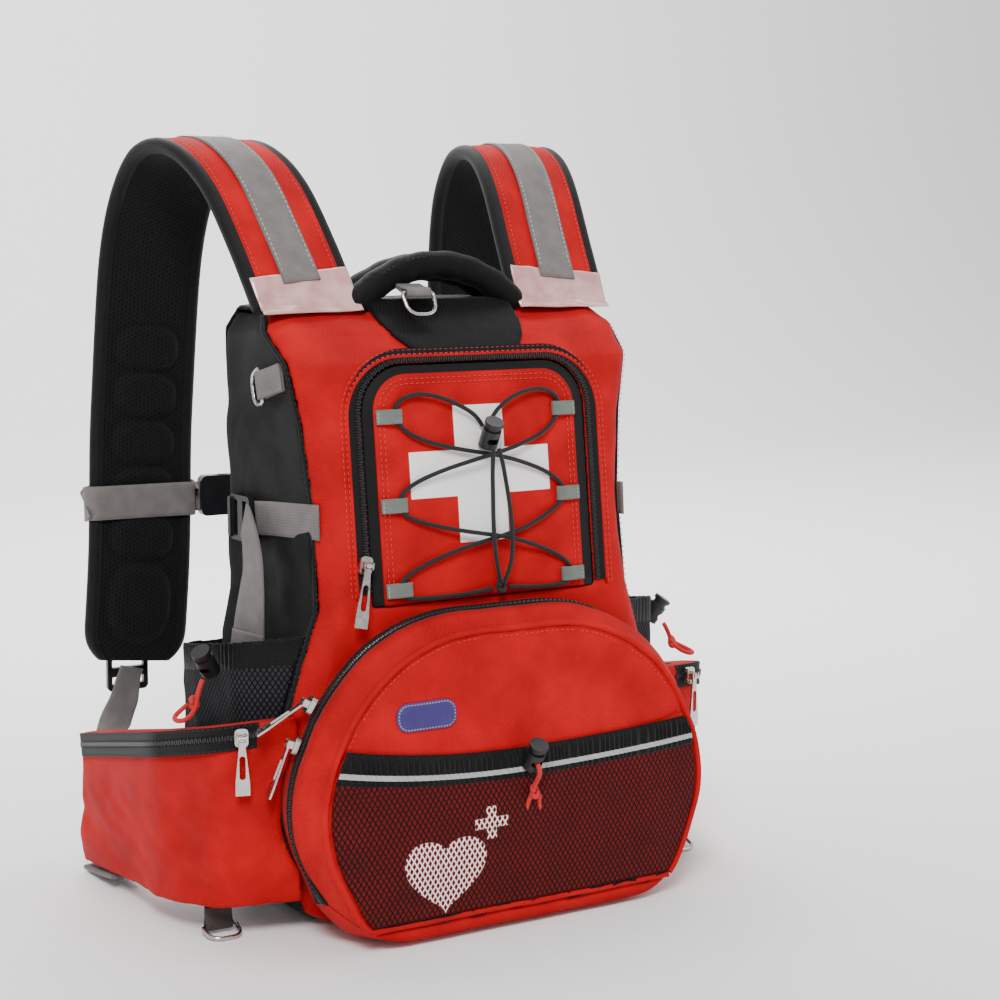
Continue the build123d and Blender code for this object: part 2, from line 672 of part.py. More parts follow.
# bar's middle, bar's direction, the way the tab runs from the bar, its length, the way the ring hangs
RING_SEATS = {
    "side_ring_left": ((-146.0, -56.0, 386.0), (0, 0.28, 0.96), (0.17, -0.95, 0.28), 27.0, (0.1, 0.95, -0.28)),
    "base_ring_left": ((-197.0, -82.0, 6.0), (1, 0, 0), (0, 0, 1), 14.5, (0, -0.97, -0.22)),
    "top_ring": ((-27.0, -70.0, 450.0), (1, 0, 0), (0, 0.96, 0.28), 16.0, (0, -0.5, -0.87)),
}
tabs, rings = [], {}
for name, (middle, bar, run, long, hang) in RING_SEATS.items():
    middle, bar, run, hang = Vector(*middle), Vector(*bar), Vector(*run), Vector(*hang)
    tabs.append(webbing_tab(Plane(middle, bar, bar.cross(run)), long))
    rings[name] = metal_ring(Plane(middle, bar, hang.cross(bar)))
HIP_TAB = ((-219, 42, 11), (-220, 70, 6.5), (-221, 100, 3.4))
with BuildPart() as webbing_tabs:
    add(tabs[0])
    add(tabs[1])
    add(band(HIP_TAB, WEB, 2 * WEB_T))
    mirror(about=Plane.YZ)
    add(tabs[2])
    add(OUTER, mode=Mode.SUBTRACT)
    add(both_sides(wing), mode=Mode.SUBTRACT)
    add(carry_handle.part, mode=Mode.SUBTRACT)
save(webbing_tabs, "webbing_tabs")
for name, solid in rings.items():
    with BuildPart() as ring:
        add(solid)
    save(ring, name)
    if name.endswith("left"):
        with BuildPart() as ring:
            add(solid)
            mirror(about=Plane.YZ, mode=Mode.REPLACE)
        save(ring, name.replace("left", "right"))


# ---------------------------------------------------------------- plastic buckles
def ladder_lock(plane):
    """A ladder lock for the harness webbing: local y along the webbing, local z off the pack."""
    with BuildPart() as lock:
        with BuildSketch(plane):
            RectangleRounded(WEB + 9, 30, 4)
            with Locations((0, -7.5), (0, 6.5)):
                RectangleRounded(WEB + 1.5, 6.5, 1, mode=Mode.SUBTRACT)
        extrude(amount=4.4)
        with BuildSketch(plane.offset(4.4)):
            with Locations((0, 13)):
                RectangleRounded(WEB + 5, 4, 1.9)
        extrude(amount=2.2)
    return lock.part


BUCKLE_W, BUCKLE_T = 33.0, 9.0
PRONG_OUT, PRONG_LONG = 10.4, 20.0
SOCKET_LONG, PLUG_GAP = 32.2, 2.8      # from the buckle's middle to where each webbing ends


def buckle_socket(plane):
    """Socket of a side-release buckle: the plug enters at y = 0, the webbing is sewn at the far end."""
    with BuildPart() as socket:
        with BuildSketch(plane.offset(-BUCKLE_T / 2)):
            with Locations((0, 16)):
                RectangleRounded(BUCKLE_W, 32, 5)
        extrude(amount=BUCKLE_T)
        with BuildSketch(plane.offset(-3)):
            with Locations((0, 10.5)):
                Rectangle(26.6, 25)
        extrude(amount=6, mode=Mode.SUBTRACT)
        with BuildSketch(plane.offset(-3)):
            with Locations((0, 12)):
                Rectangle(BUCKLE_W + 4, 9)
        extrude(amount=6, mode=Mode.SUBTRACT)
    return socket.part


def buckle_plug(plane):
    """Plug of the buckle: two sprung prongs, and a body that the webbing runs through."""
    with BuildPart() as plug:
        with BuildSketch(plane.offset(-4)):
            with Locations((0, -8)):
                RectangleRounded(BUCKLE_W - 1, 15, 3)
        extrude(amount=8)
        with BuildSketch(plane.offset(-1.5)):
            with Locations((0, -8)):
                Rectangle(WEB + 1.4, 17)
        extrude(amount=3, mode=Mode.SUBTRACT)
        for low in (1.6, -2.9):
            with BuildSketch(plane.offset(low)):
                with Locations((-PRONG_OUT, PRONG_LONG / 2 - 0.8), (PRONG_OUT, PRONG_LONG / 2 - 0.8)):
                    RectangleRounded(3.6, PRONG_LONG + 1.2, 1.6)
                with Locations((0, 5)):
                    RectangleRounded(3.0, 13, 1.4)
            extrude(amount=1.3)
    return plug.part


LOCK_SEATS = (
    (Vector(-173.4, 154.4, 141.0), Vector(1, 0, 0), Vector(0, 1, 0.03)),
    (Vector(-139.6, -9.0, 285.0), Vector(0, 0, 1), Vector(-1, -0.07, 0)),
)
with BuildPart() as ladder_locks:
    for middle, across, off in LOCK_SEATS:
        add(ladder_lock(Plane(origin=middle, x_dir=across, z_dir=off)))
    add(strap_solid, mode=Mode.SUBTRACT)
    add(OUTER, mode=Mode.SUBTRACT)
    add(strap_webbing.part, mode=Mode.SUBTRACT)
    mirror(about=Plane.YZ)
save(ladder_locks, "ladder_locks")

COMPRESSION_WEB = ((-129, -110, 293), (-132.4, -80, 291), (-135.6, -50, 289), (-138.2, -27, 287))
COMPRESSION_TAIL = ((-145.8, -22, 286), (-149.4, -38, 276), (-152, -50, 258), (-154.5, -54, 240),
                    (-157, -54, 215), (-158, -52, 186))
TAIL_ACROSS = [Vector(0, 0.3, -0.95), Vector(-0.05, 0.62, -0.78), Vector(-0.2, 0.88, -0.47), Vector(-0.42, 0.9, 0),
               Vector(-0.55, 0.83, 0.03), Vector(-0.6, 0.8, 0.03)]
with BuildPart() as compression_straps:
    add(band(COMPRESSION_WEB, WEB, WEB_T, across=(0, 0.07, 1)))
    add(OUTER, mode=Mode.SUBTRACT)
    add(band(COMPRESSION_TAIL, WEB, WEB_T, across=TAIL_ACROSS))
    mirror(about=Plane.YZ)
    add(ladder_locks.part, mode=Mode.SUBTRACT)
save(compression_straps, "compression_straps")

# sternum strap: a webbing sleeve round each shoulder strap, joined by a buckle beside the left one
STERNUM_Z, STERNUM_X = 280.0, -76.0
CHEST = Vector(-159, 156, STERNUM_Z)
chest_plane = Plane(origin=(STERNUM_X, CHEST.Y, STERNUM_Z), x_dir=(0, 0, 1), z_dir=(0, -1, 0))
STRAP_INNER = -CHEST.X - STRAP / 2    # inner edge of the right shoulder strap
CHEST_RUNS = {                # where each side's webbing runs, across the chest
    "left": (-STRAP_INNER - 2.2, STERNUM_X - SOCKET_LONG),
    "right": (STRAP_INNER + 2.2, STERNUM_X + PLUG_GAP),
}
for side, sign in SIDES:
    start, end = CHEST_RUNS[side]
    with BuildPart() as sternum_strap:
        with BuildSketch(Plane.XY.offset(STERNUM_Z - WEB / 2)):
            with Locations((sign * -CHEST.X, CHEST.Y)):
                Rectangle(STRAP + 7.4, STRAP_T + 6.6)
                Rectangle(STRAP + 3.8, STRAP_T + 3.0, mode=Mode.SUBTRACT)
        extrude(amount=WEB)
        with Locations(((start + end) / 2, CHEST.Y, STERNUM_Z)):
            Box(abs(start - end), WEB_T, WEB)
        add(both_sides(strap_solid), mode=Mode.SUBTRACT)
    save(sternum_strap, f"sternum_strap_{side}")
with BuildPart() as sternum_socket:
    add(buckle_socket(chest_plane))
save(sternum_socket, "sternum_socket")
with BuildPart() as sternum_plug:
    add(buckle_plug(chest_plane))
save(sternum_plug, "sternum_plug")

# retention strap and buckle across the upper bay
BAY_BUCKLE = 66.0             # buckle's middle, up the flap plane
bay_plane = Plane(FRONT.from_local_coords(Vector(0, BAY_BUCKLE, -9.5)), FRONT.x_dir, FRONT.z_dir)
STRAP_FOOT, STRAP_HEAD = -0.5, 176.0   # up the flap plane
with BuildPart() as retention_strap:
    with BuildSketch(bay_plane.offset(-WEB_T / 2)):
        with Locations((0, (STRAP_FOOT - BAY_BUCKLE - PLUG_GAP) / 2)):
            Rectangle(WEB, BAY_BUCKLE - STRAP_FOOT - PLUG_GAP)
        with Locations((0, (STRAP_HEAD - BAY_BUCKLE + SOCKET_LONG) / 2)):
            Rectangle(WEB, STRAP_HEAD - BAY_BUCKLE - SOCKET_LONG)
    extrude(amount=WEB_T)
    add(front_panel.part, mode=Mode.SUBTRACT)
save(retention_strap, "retention_strap")
with BuildPart() as retention_socket:
    add(buckle_socket(bay_plane))
save(retention_socket, "retention_socket")
with BuildPart() as retention_plug:
    add(buckle_plug(bay_plane))
save(retention_plug, "retention_plug")

# ---------------------------------------------------------------- lid's mesh pocket and badge
MESH_TOP = 106.0              # pocket's mouth, up the face plane
with BuildPart() as mesh_pocket:
    with BuildSketch(FACE.offset(0.3)):
        with BuildLine():
            pod_outline(151, 4, 196)
        make_face()
        with Locations((0, MESH_TOP - 200)):
            Rectangle(400, 400, mode=Mode.INTERSECT)
    extrude(amount=1.6)
    with BuildSketch(FACE.offset(0.3)):
        with Locations((0, MESH_TOP + 2)):
            Rectangle(296, 22)
    extrude(amount=3.0)
save(mesh_pocket, "mesh_pocket")

with BuildPart() as lid_badge:
    with BuildSketch(FACE.offset(0.2)):
        with Locations((-76, 146)):
            RectangleRounded(46, 23, 9)
    extrude(amount=1.6)
save(lid_badge, "lid_badge")

# ---------------------------------------------------------------- cord locks with red pull cords
# a lock's middle and axis, the way its cord runs out, and the cord's route, knot and loop


def lock_and_cord(middle, axis, bore, route, tag):
    """Barrel, button and cord of one drawcord end."""
    axis = axis.normalized()
    bore = (bore - axis * bore.dot(axis)).normalized()
    lock_parts = cord_lock(middle, axis, bore)
    with BuildPart() as pulled:
        add(cord(route[0], PULL_CORD, f"{tag} stem"))
        add(cord(route[1], PULL_CORD, f"{tag} loop"))
        with Locations(Vector(*route[0][-1])):
            Sphere(4.4)
    return lock_parts[0], lock_parts[1], pulled.part


LID_LOCK = FACE.from_local_coords(Vector(3, 107, 14))
lid_route = (
    [tuple(FACE.from_local_coords(Vector(*p))) for p in
     ((3, 105.2, 16.4), (3, 101.3, 21.6), (3.5, 95, 20), (3.5, 89, 14), (4, 83.5, 10))],
    [tuple(FACE.from_local_coords(Vector(*p))) for p in
     ((3, 80, 9), (0.5, 75, 7.5), (-0.5, 68, 6), (2.5, 62.5, 5), (7.5, 62, 5), (11, 67, 6), (9.5, 74.5, 7.6),
      (6.2, 80, 9))],
)
lid_set = lock_and_cord(LID_LOCK, turned(FACE, Vector(0, 0.8, 0.6)), turned(FACE, Vector(0, -0.6, 0.8)),
                        lid_route, "lid cord")
pocket_route = (
    [(-198.6, -66, 181), (-202, -67.5, 176), (-203.5, -67, 170.5), (-204.5, -68, 166)],
    [(-205.4, -69.4, 164), (-209, -73, 160.5), (-214, -76, 157.5), (-220, -76.5, 155.5), (-222.5, -72, 156),
     (-219, -68, 158), (-213, -67.5, 160.5), (-206.5, -66.8, 164.2)],
)
pocket_set = lock_and_cord(Vector(-192.5, -60, 190), Vector(-0.5, -0.3, 0.81), Vector(-0.3, -0.3, -1),
                           pocket_route, "pocket cord")
for name, solid in (("lid_lock", lid_set[0]), ("lid_button", lid_set[1]), ("lid_cord", lid_set[2])):
    with BuildPart() as piece:
        add(solid)
    save(piece, name)
for name, solid in (("pocket_locks", pocket_set[0]), ("pocket_cords", pocket_set[2])):
    with BuildPart() as piece:
        add(solid)
        mirror(about=Plane.YZ)
    save(piece, name)
with BuildPart() as piece:
    add(pocket_set[1])
save(piece, "pocket_button_left")
with BuildPart() as piece:
    add(pocket_set[1])
    mirror(about=Plane.YZ, mode=Mode.REPLACE)
save(piece, "pocket_button_right")
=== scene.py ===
# %% [markdown]
# # A rescue backpack, sewn in Blender around a CAD frame
# The CAD model holds the sizes, the joints and the hard fittings. This file adds what a sewing
# room would add: padded panels, webbing, zips, mesh and stitches, each with a cloth finish.

# %% Load the frame
import math

import bpy
import numpy as np
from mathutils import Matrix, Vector, noise


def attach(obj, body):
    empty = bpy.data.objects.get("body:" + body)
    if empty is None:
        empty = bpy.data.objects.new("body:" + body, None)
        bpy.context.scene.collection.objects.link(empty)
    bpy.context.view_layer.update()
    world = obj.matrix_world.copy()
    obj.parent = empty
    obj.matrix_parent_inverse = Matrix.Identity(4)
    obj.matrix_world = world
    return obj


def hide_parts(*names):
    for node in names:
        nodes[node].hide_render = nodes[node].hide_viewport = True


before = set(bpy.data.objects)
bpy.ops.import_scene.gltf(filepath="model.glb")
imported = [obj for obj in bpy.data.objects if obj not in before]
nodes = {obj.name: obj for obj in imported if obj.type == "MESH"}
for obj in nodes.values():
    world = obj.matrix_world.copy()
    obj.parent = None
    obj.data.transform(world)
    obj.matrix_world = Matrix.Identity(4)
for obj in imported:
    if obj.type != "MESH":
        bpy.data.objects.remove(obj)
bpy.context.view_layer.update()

# %% [markdown]
# ## Small tools
# The pack is drawn in millimetres on two slanted planes, the upper flap's and the lower lid's,
# so a few helpers turn "across, up, off the cloth" into places in the frame.

# %% Places
MM = 0.001


LID_UP = (0, 0.0748, 0.9972)
FLAP_PLANE = ((0, -123.64, 232), (0, 0.119145, 0.992877), (0, -0.992877, 0.119145))
LID_PLANE = ((0, -178.5, 16), LID_UP, (0, -0.9972, 0.0748))


def place(across, up, off, plane):
    """A point on a slanted cloth plane, in millimetres, as a place in the frame, in metres.

    A plane is its origin, the way up it and the way out of it.
    """
    origin, up_way, out_way = [np.array(part) for part in plane]
    return (np.array([across, 0, 0]) + origin + up * up_way + off * out_way) * MM


def on_flap(across, up, off=0.0):
    return place(across, up, off, FLAP_PLANE)


def on_lid(across, up, off=0.0):
    return place(across, up, off, LID_PLANE)


def mm(points):
    return [np.array(p, float) * MM for p in points]


def mirrored(points):
    return [np.array(p, float) * (-1, 1, 1) for p in points]


# %% [markdown]
# Colours are written as hex codes, the way a dye chart gives them, and turned into linear light.

# %% Turn a colour code into light
def colour(code):
    """An sRGB hex code as linear red, green, blue and alpha."""
    parts = [int(code[i:i + 2], 16) / 255 for i in (0, 2, 4)]
    return [p / 12.92 if p <= 0.04045 else ((p + 0.055) / 1.055) ** 2.4 for p in parts] + [1.0]


# %% [markdown]
# ## Materials
# Every finish starts from one principled shader. A single helper adds a node, sets it and links
# it. Patterns are laid out in millimetres, in the piece's own space, so they move with the piece.

# %% One function that adds a node
def add(tree, kind, settings=None, **links):
    """Adds a node of this kind. Settings name its properties and sockets; links name its inputs."""
    node = tree.nodes.new("ShaderNode" + kind)
    for key, value in (settings or {}).items():
        if isinstance(key, str) and hasattr(node, key):
            setattr(node, key, value)
        else:
            node.inputs[key].default_value = value
    for name, source in links.items():
        socket = int(name[1:]) if name[0] == "i" and name[1:].isdigit() else name.replace("_", " ")
        tree.links.new(source, node.inputs[socket])
    return node


def start_finish(name, base, roughness, **sockets):
    """A new material with its shader; every socket named here is set directly on the shader."""
    finish = bpy.data.materials.new(name)
    finish.use_nodes = True
    tree = finish.node_tree
    shader = tree.nodes["Principled BSDF"]
    shader.inputs["Base Color"].default_value = colour(base)
    shader.inputs["Roughness"].default_value = roughness
    for key, value in sockets.items():
        shader.inputs[key.replace("_", " ")].default_value = value
    return finish, tree, shader


def where(tree, uv=False):
    """The piece's own coordinates in millimetres, or its cloth coordinates."""
    source = add(tree, "TexCoord").outputs["UV" if uv else "Object"]
    return add(tree, "VectorMath", {"operation": "SCALE", "Scale": 1000.0}, i0=source).outputs[0]


def ripple(tree, spot, direction, pitch):
    """A sine ripple from 0 to 1 that repeats every pitch millimetres along a direction."""
    along = add(tree, "VectorMath", {"operation": "DOT_PRODUCT", 1: direction}, i0=spot).outputs["Value"]
    angle = add(tree, "Math", {"operation": "MULTIPLY", 1: 2 * math.pi / pitch}, i0=along).outputs[0]
    wave = add(tree, "Math", {"operation": "SINE"}, i0=angle).outputs[0]
    return add(tree, "Math", {"operation": "MULTIPLY_ADD", 1: 0.5, 2: 0.5}, i0=wave).outputs[0]


def blotches(tree, spot, size, detail=3.0):
    """Soft random patches from 0 to 1, about size millimetres across."""
    return add(tree, "TexNoise", {"Scale": 1.0 / size, "Detail": detail}, Vector=spot).outputs["Fac"]


def blend_colours(tree, factor, first, second):
    """Mixes two colours, each a hex code or a socket."""
    mix = add(tree, "Mix", {"data_type": "RGBA"})
    tree.links.new(factor, mix.inputs[0])
    for socket, value in ((mix.inputs[6], first), (mix.inputs[7], second)):
        if isinstance(value, str):
            socket.default_value = colour(value)
        else:
            tree.links.new(value, socket)
    return mix.outputs[2]


def steps(tree, value, low, high):
    """0 below low, 1 above high, and a smooth step between."""
    return add(tree, "MapRange", {"interpolation_type": "SMOOTHSTEP", 1: low, 2: high}, i0=value).outputs[0]


def combine(tree, operation, a, b):
    """One arithmetic step on two values, each a number or a socket."""
    node = add(tree, "Math", {"operation": operation})
    for socket, value in ((node.inputs[0], a), (node.inputs[1], b)):
        if isinstance(value, (int, float)):
            socket.default_value = value
        else:
            tree.links.new(value, socket)
    return node.outputs[0]


def emboss(tree, shader, height, depth, strength=0.7):
    """Raises the finish by height, which is 0 to 1, times depth in millimetres."""
    bump = add(tree, "Bump", {"Strength": strength, "Distance": depth * MM}, Height=height)
    tree.links.new(bump.outputs["Normal"], shader.inputs["Normal"])


# %% [markdown]
# ### Pack cloth
# The red face fabric is a coarse nylon twill with a polyurethane back: dull, with a faint sheen
# along the threads. Real threads are 0.5 mm apart, drawn here at 1.5 mm so that the weave shows.
# The black cloth is the same nylon, dyed black. Its threads catch more light than the red ones.

# %% Woven nylon
THREAD = 1.5


def woven(name, dark, light, roughness=0.72, thread=THREAD, depth=0.22, sheen=0.25, uv=False, marks=None):
    """Twill: two crossing sets of threads, with soft darker patches of painted shade that stand in for the shade
    of creases.
    """
    finish, tree, shader = start_finish(name, light, roughness, Sheen_Weight=sheen, Sheen_Roughness=0.4,
                                        Specular_IOR_Level=0.12)
    spot = where(tree, uv)
    warp = ripple(tree, spot, (1.0, 1.0, 0.6), thread)
    weft = ripple(tree, spot, (0.5, 0.5, -1.0), thread)
    weave = combine(tree, "MULTIPLY", warp, weft)
    # Painted shade: noise patches about 38 mm across darken the cloth's colour in place of the shade of creases.
    cloud = blotches(tree, spot, 38.0)
    shade = steps(tree, cloud, 0.2, 0.85)
    base = blend_colours(tree, shade, dark, light)
    threads = blend_colours(tree, combine(tree, "MULTIPLY", weave, 0.35), base, light)
    shown = marks(tree, spot, threads) if marks else threads
    tree.links.new(shown, shader.inputs["Base Color"])
    emboss(tree, shader, weave, depth)
    return finish


red_twill = woven("red_nylon_twill", "96040A", "C00A12", sheen=0.03)
black_twill = woven("black_nylon_twill", "030304", "0E0E10", roughness=0.6, sheen=0.06)
black_lining = woven("black_pu_coated_lining", "050506", "0C0C0E", roughness=0.5, thread=2.2,
                     depth=0.12, sheen=0.05)
print("twills:", red_twill.name, black_twill.name, black_lining.name)

# %% [markdown]
# ### Webbing and tape
# Harness webbing is woven polyester with ribs across its width, 1.6 mm apart, and the edge
# binding is a narrow grosgrain tape. Both use the cloth coordinates of a strap: across and along.

# %% Ribbed webbing
def webbing(name, dark, light, rib=1.6, roughness=0.62, sheen=0.3):
    """Flat webbing: ribs across and threads along, crossing in a plain grid."""
    finish, tree, shader = start_finish(name, light, roughness, Sheen_Weight=sheen, Specular_IOR_Level=0.15)
    spot = where(tree, uv=True)
    ribs = ripple(tree, spot, (0.0, 1.0, 0.0), rib)
    cords = ripple(tree, spot, (1.0, 0.0, 0.0), rib * 1.3)
    weave = combine(tree, "MULTIPLY", ribs, cords)
    cloud = blotches(tree, spot, 14.0)
    base = blend_colours(tree, cloud, dark, light)
    shown = blend_colours(tree, combine(tree, "MULTIPLY", weave, 0.5), base, light)
    tree.links.new(shown, shader.inputs["Base Color"])
    emboss(tree, shader, weave, 0.3)
    return finish


grey_webbing = webbing("grey_polyester_webbing", "504C4B", "7B7674", sheen=0.1)
black_webbing = webbing("black_polyester_webbing", "060607", "161618", sheen=0.1)
black_binding = webbing("black_grosgrain_binding", "050506", "121214", rib=1.3, sheen=0.08)
loop_webbing = webbing("grey_green_loop_webbing", "4C524C", "767C75", rib=1.3, sheen=0.1)
brown_webbing = webbing("dark_grey_base_webbing", "2A2725", "474340", sheen=0.1)
print("webbings: grey, black, binding, loop, base")

# %% [markdown]
# ### Meshes
# Two meshes are used. Spacer mesh, on the straps and the back, is knitted polyester about 3 mm
# thick with small round openings. The pockets have an open net with diamond holes, and the lid
# shows through it, so the net is drawn as black threads over whatever lies behind it.

# %% Spacer mesh and nets
def spacer_mesh(name, uv=False, pitch=3.2):
    """Knitted spacer mesh: rows of round openings, every other row shifted by half a pitch, each opening darkened
    with painted shade.
    """
    finish, tree, shader = start_finish(name, "121214", 0.85, Sheen_Weight=0.05, Sheen_Roughness=0.5,
                                        Specular_IOR_Level=0.12)
    spot = where(tree, uv)
    ways = ((1.0, 0.8, 0.0), (0.5, 0.4, 0.87), (-0.5, -0.4, 0.87)) if not uv else (
        (1.0, 0.0, 0.0), (0.5, 0.87, 0.0), (-0.5, 0.87, 0.0))
    rows = [ripple(tree, spot, way, pitch) for way in ways]
    total = combine(tree, "ADD", combine(tree, "ADD", rows[0], rows[1]), rows[2])
    hole = steps(tree, total, 1.75, 2.35)
    # Painted shade: the openings are coloured near black, darker than the black knit, for the shade inside each
    # hole.
    shown = blend_colours(tree, hole, "131315", "010101")
    tree.links.new(shown, shader.inputs["Base Color"])
    emboss(tree, shader, combine(tree, "SUBTRACT", 1.0, hole), 0.8)
    return finish


def net_threads(tree, spot, pitch, slope, thick):
    """1 on the threads of a diamond net, 0 in its holes."""
    first = ripple(tree, spot, (1.0, 0.0, slope), pitch)
    second = ripple(tree, spot, (-1.0, 0.0, slope), pitch)
    return steps(tree, combine(tree, "MAXIMUM", first, second), 1 - thick, 1 - thick + 0.12)


FRONT_SHARE, SIDE_SHARE = 0.62, 0.78


def round_the_side(tree, spot):
    """Coordinates that run round the pack's side, so that a net keeps its shape on every face."""
    x, y, z = add(tree, "SeparateXYZ", i0=spot).outputs
    across = combine(tree, "MULTIPLY", combine(tree, "ABSOLUTE", x, 0), FRONT_SHARE)
    along = combine(tree, "ADD", across, combine(tree, "MULTIPLY", y, SIDE_SHARE))
    return add(tree, "CombineXYZ", X=along, Z=z).outputs[0]


def pocket_net(name, behind_dark, behind_light, pitch=4.2, marks=None, side=False):
    """Diamond net over a colour that lies behind it."""
    finish, tree, shader = start_finish(name, "1A1A1C", 0.75, Specular_IOR_Level=0.15)
    spot = where(tree)
    if side:
        spot = round_the_side(tree, spot)
    thread = net_threads(tree, spot, pitch, 0.62, 0.24)
    cloud = blotches(tree, spot, 30.0)
    behind = blend_colours(tree, cloud, behind_dark, behind_light)
    net = marks(tree, spot) if marks else "060607"
    tree.links.new(blend_colours(tree, thread, behind, net), shader.inputs["Base Color"])
    emboss(tree, shader, thread, 0.7)
    return finish


# %% [markdown]
# The net on the lid carries a plain printed heart and a plus. Both are simple formulas in the
# plane of the lid: a heart is one curve, a circle bent up by the square root of the distance across, a plus is two
# crossing bars.

# %% Printed marks
def box_mark(tree, x, z, across, up, soft=0.6):
    """1 inside a rectangle given as (low, high) across and up."""
    edges = [
        steps(tree, x, across[0] - soft, across[0] + soft),
        combine(tree, "SUBTRACT", 1.0, steps(tree, x, across[1] - soft, across[1] + soft)),
        steps(tree, z, up[0] - soft, up[0] + soft),
        combine(tree, "SUBTRACT", 1.0, steps(tree, z, up[1] - soft, up[1] + soft)),
    ]
    mark = edges[0]
    for edge in edges[1:]:
        mark = combine(tree, "MULTIPLY", mark, edge)
    return mark


def heart_mark(tree, x, z, middle, size):
    """1 inside a heart: |x| + a tilted ellipse, the usual one-line heart curve."""
    sideways = combine(tree, "SUBTRACT", x, middle[0])
    across = combine(tree, "DIVIDE", combine(tree, "ABSOLUTE", sideways, 0), size[0])
    up = combine(tree, "DIVIDE", combine(tree, "SUBTRACT", z, middle[1]), size[1])
    lift = combine(tree, "SUBTRACT", up, combine(tree, "MULTIPLY", combine(tree, "SQRT", across, 0), 0.72))
    squares = [combine(tree, "MULTIPLY", part, part) for part in (across, lift)]
    reach = combine(tree, "ADD", *squares)
    return combine(tree, "SUBTRACT", 1.0, steps(tree, reach, 0.92, 1.0))


HEART_MIDDLE, HEART_SIZE = (-67.0, 43.0), (33.0, 23.0)
PLUS_BARS = (((-43.0, -16.5), (77.4, 84.6)), ((-33.6, -25.9), (69.5, 92.5)))


def lid_marks(tree, spot):
    """The net's own colour: white where the heart and the plus are printed."""
    parts = add(tree, "SeparateXYZ", i0=spot).outputs
    x, z = parts[0], parts[2]
    printed = heart_mark(tree, x, z, HEART_MIDDLE, HEART_SIZE)
    for across, up in PLUS_BARS:
        printed = combine(tree, "MAXIMUM", printed, box_mark(tree, x, z, across, up))
    return blend_colours(tree, printed, "080809", "F2EAE9")


def white_cross(tree, spot, ground):
    """The flap's printed cross, white on the red cloth."""
    parts = add(tree, "SeparateXYZ", i0=spot).outputs
    x, z = parts[0], parts[2]
    tall = box_mark(tree, x, z, (-20.5, 20.5), (272.0, 370.0), 0.35)
    wide = box_mark(tree, x, z, (-58.0, 58.0), (305.5, 338.5), 0.35)
    printed = combine(tree, "MAXIMUM", tall, wide)
    return blend_colours(tree, printed, ground, "F1EEEC")


air_mesh = spacer_mesh("black_spacer_mesh", uv=True)
back_mesh = spacer_mesh("black_back_mesh", pitch=3.6)
lid_net = pocket_net("printed_lid_net", "4A0607", "74100F", marks=lid_marks)
side_net = pocket_net("black_side_net", "1E1E22", "38383D", pitch=3.8, side=True)
cross_twill = woven("red_twill_with_cross", "96040A", "C00A12", sheen=0.03, marks=white_cross)
print("meshes and prints ready")

# %% [markdown]
# ### Metal, plastic, thread and cord
# The rings and sliders are die-cast zinc with nickel plating, polished and then tumbled, so they
# are bright but not mirrors. The locks and buckles are injection-moulded acetal, satin black.

# %% Hard finishes
def cast_nickel():
    """Nickel-plated zinc with fine tumbling marks."""
    finish, tree, shader = start_finish("nickel_plated_zinc", "C9C6C1", 0.24, Metallic=1.0)
    spot = where(tree)
    scuff = blotches(tree, spot, 2.5, 6.0)
    rough = add(tree, "MapRange", {1: 0.2, 2: 0.8, 3: 0.16, 4: 0.36}, i0=scuff).outputs[0]
    tree.links.new(rough, shader.inputs["Roughness"])
    tree.links.new(blend_colours(tree, scuff, "A8A49F", "D9D6D2"), shader.inputs["Base Color"])
    emboss(tree, shader, scuff, 0.05, 0.4)
    return finish


def moulded(name, dark, light, roughness):
    """Injection-moulded plastic with the faint spark texture of its mould."""
    finish, tree, shader = start_finish(name, light, roughness, IOR=1.48)
    spot = where(tree)
    grain = blotches(tree, spot, 0.9, 4.0)
    tree.links.new(blend_colours(tree, blotches(tree, spot, 9.0), dark, light), shader.inputs["Base Color"])
    emboss(tree, shader, grain, 0.08, 0.5)
    return finish


def twisted(name, dark, light, pitch, roughness=0.7, uv=False):
    """Braided or twisted yarn: slanting strands along the piece."""
    finish, tree, shader = start_finish(name, light, roughness, Sheen_Weight=0.1, Specular_IOR_Level=0.35)
    spot = where(tree, uv)
    one = ripple(tree, spot, (0.7, 0.3, 1.0), pitch)
    two = ripple(tree, spot, (-0.7, 0.3, 1.0), pitch)
    strand = combine(tree, "MAXIMUM", one, two)
    tree.links.new(blend_colours(tree, strand, dark, light), shader.inputs["Base Color"])
    emboss(tree, shader, strand, 0.25)
    return finish


def reflective_tape():
    """Glass-bead reflective tape: pale, tinted pink as a painted reflection of the red cloth round it, and
    creased.
    """
    finish, tree, shader = start_finish("glass_bead_reflective_tape", "D9BDBA", 0.34, Metallic=0.35,
                                        Coat_Weight=0.4, Coat_Roughness=0.2)
    spot = where(tree)
    # The crease noise also sets the colour: darker in its hollows and paler on its ridges, a painted shade and
    # highlight that follow the creases.
    crease = blotches(tree, spot, 16.0, 2.0)
    tree.links.new(blend_colours(tree, steps(tree, crease, 0.25, 0.75), "C98F8C", "E2B7B3"),
                   shader.inputs["Base Color"])
    emboss(tree, shader, crease, 2.2, 0.6)
    return finish


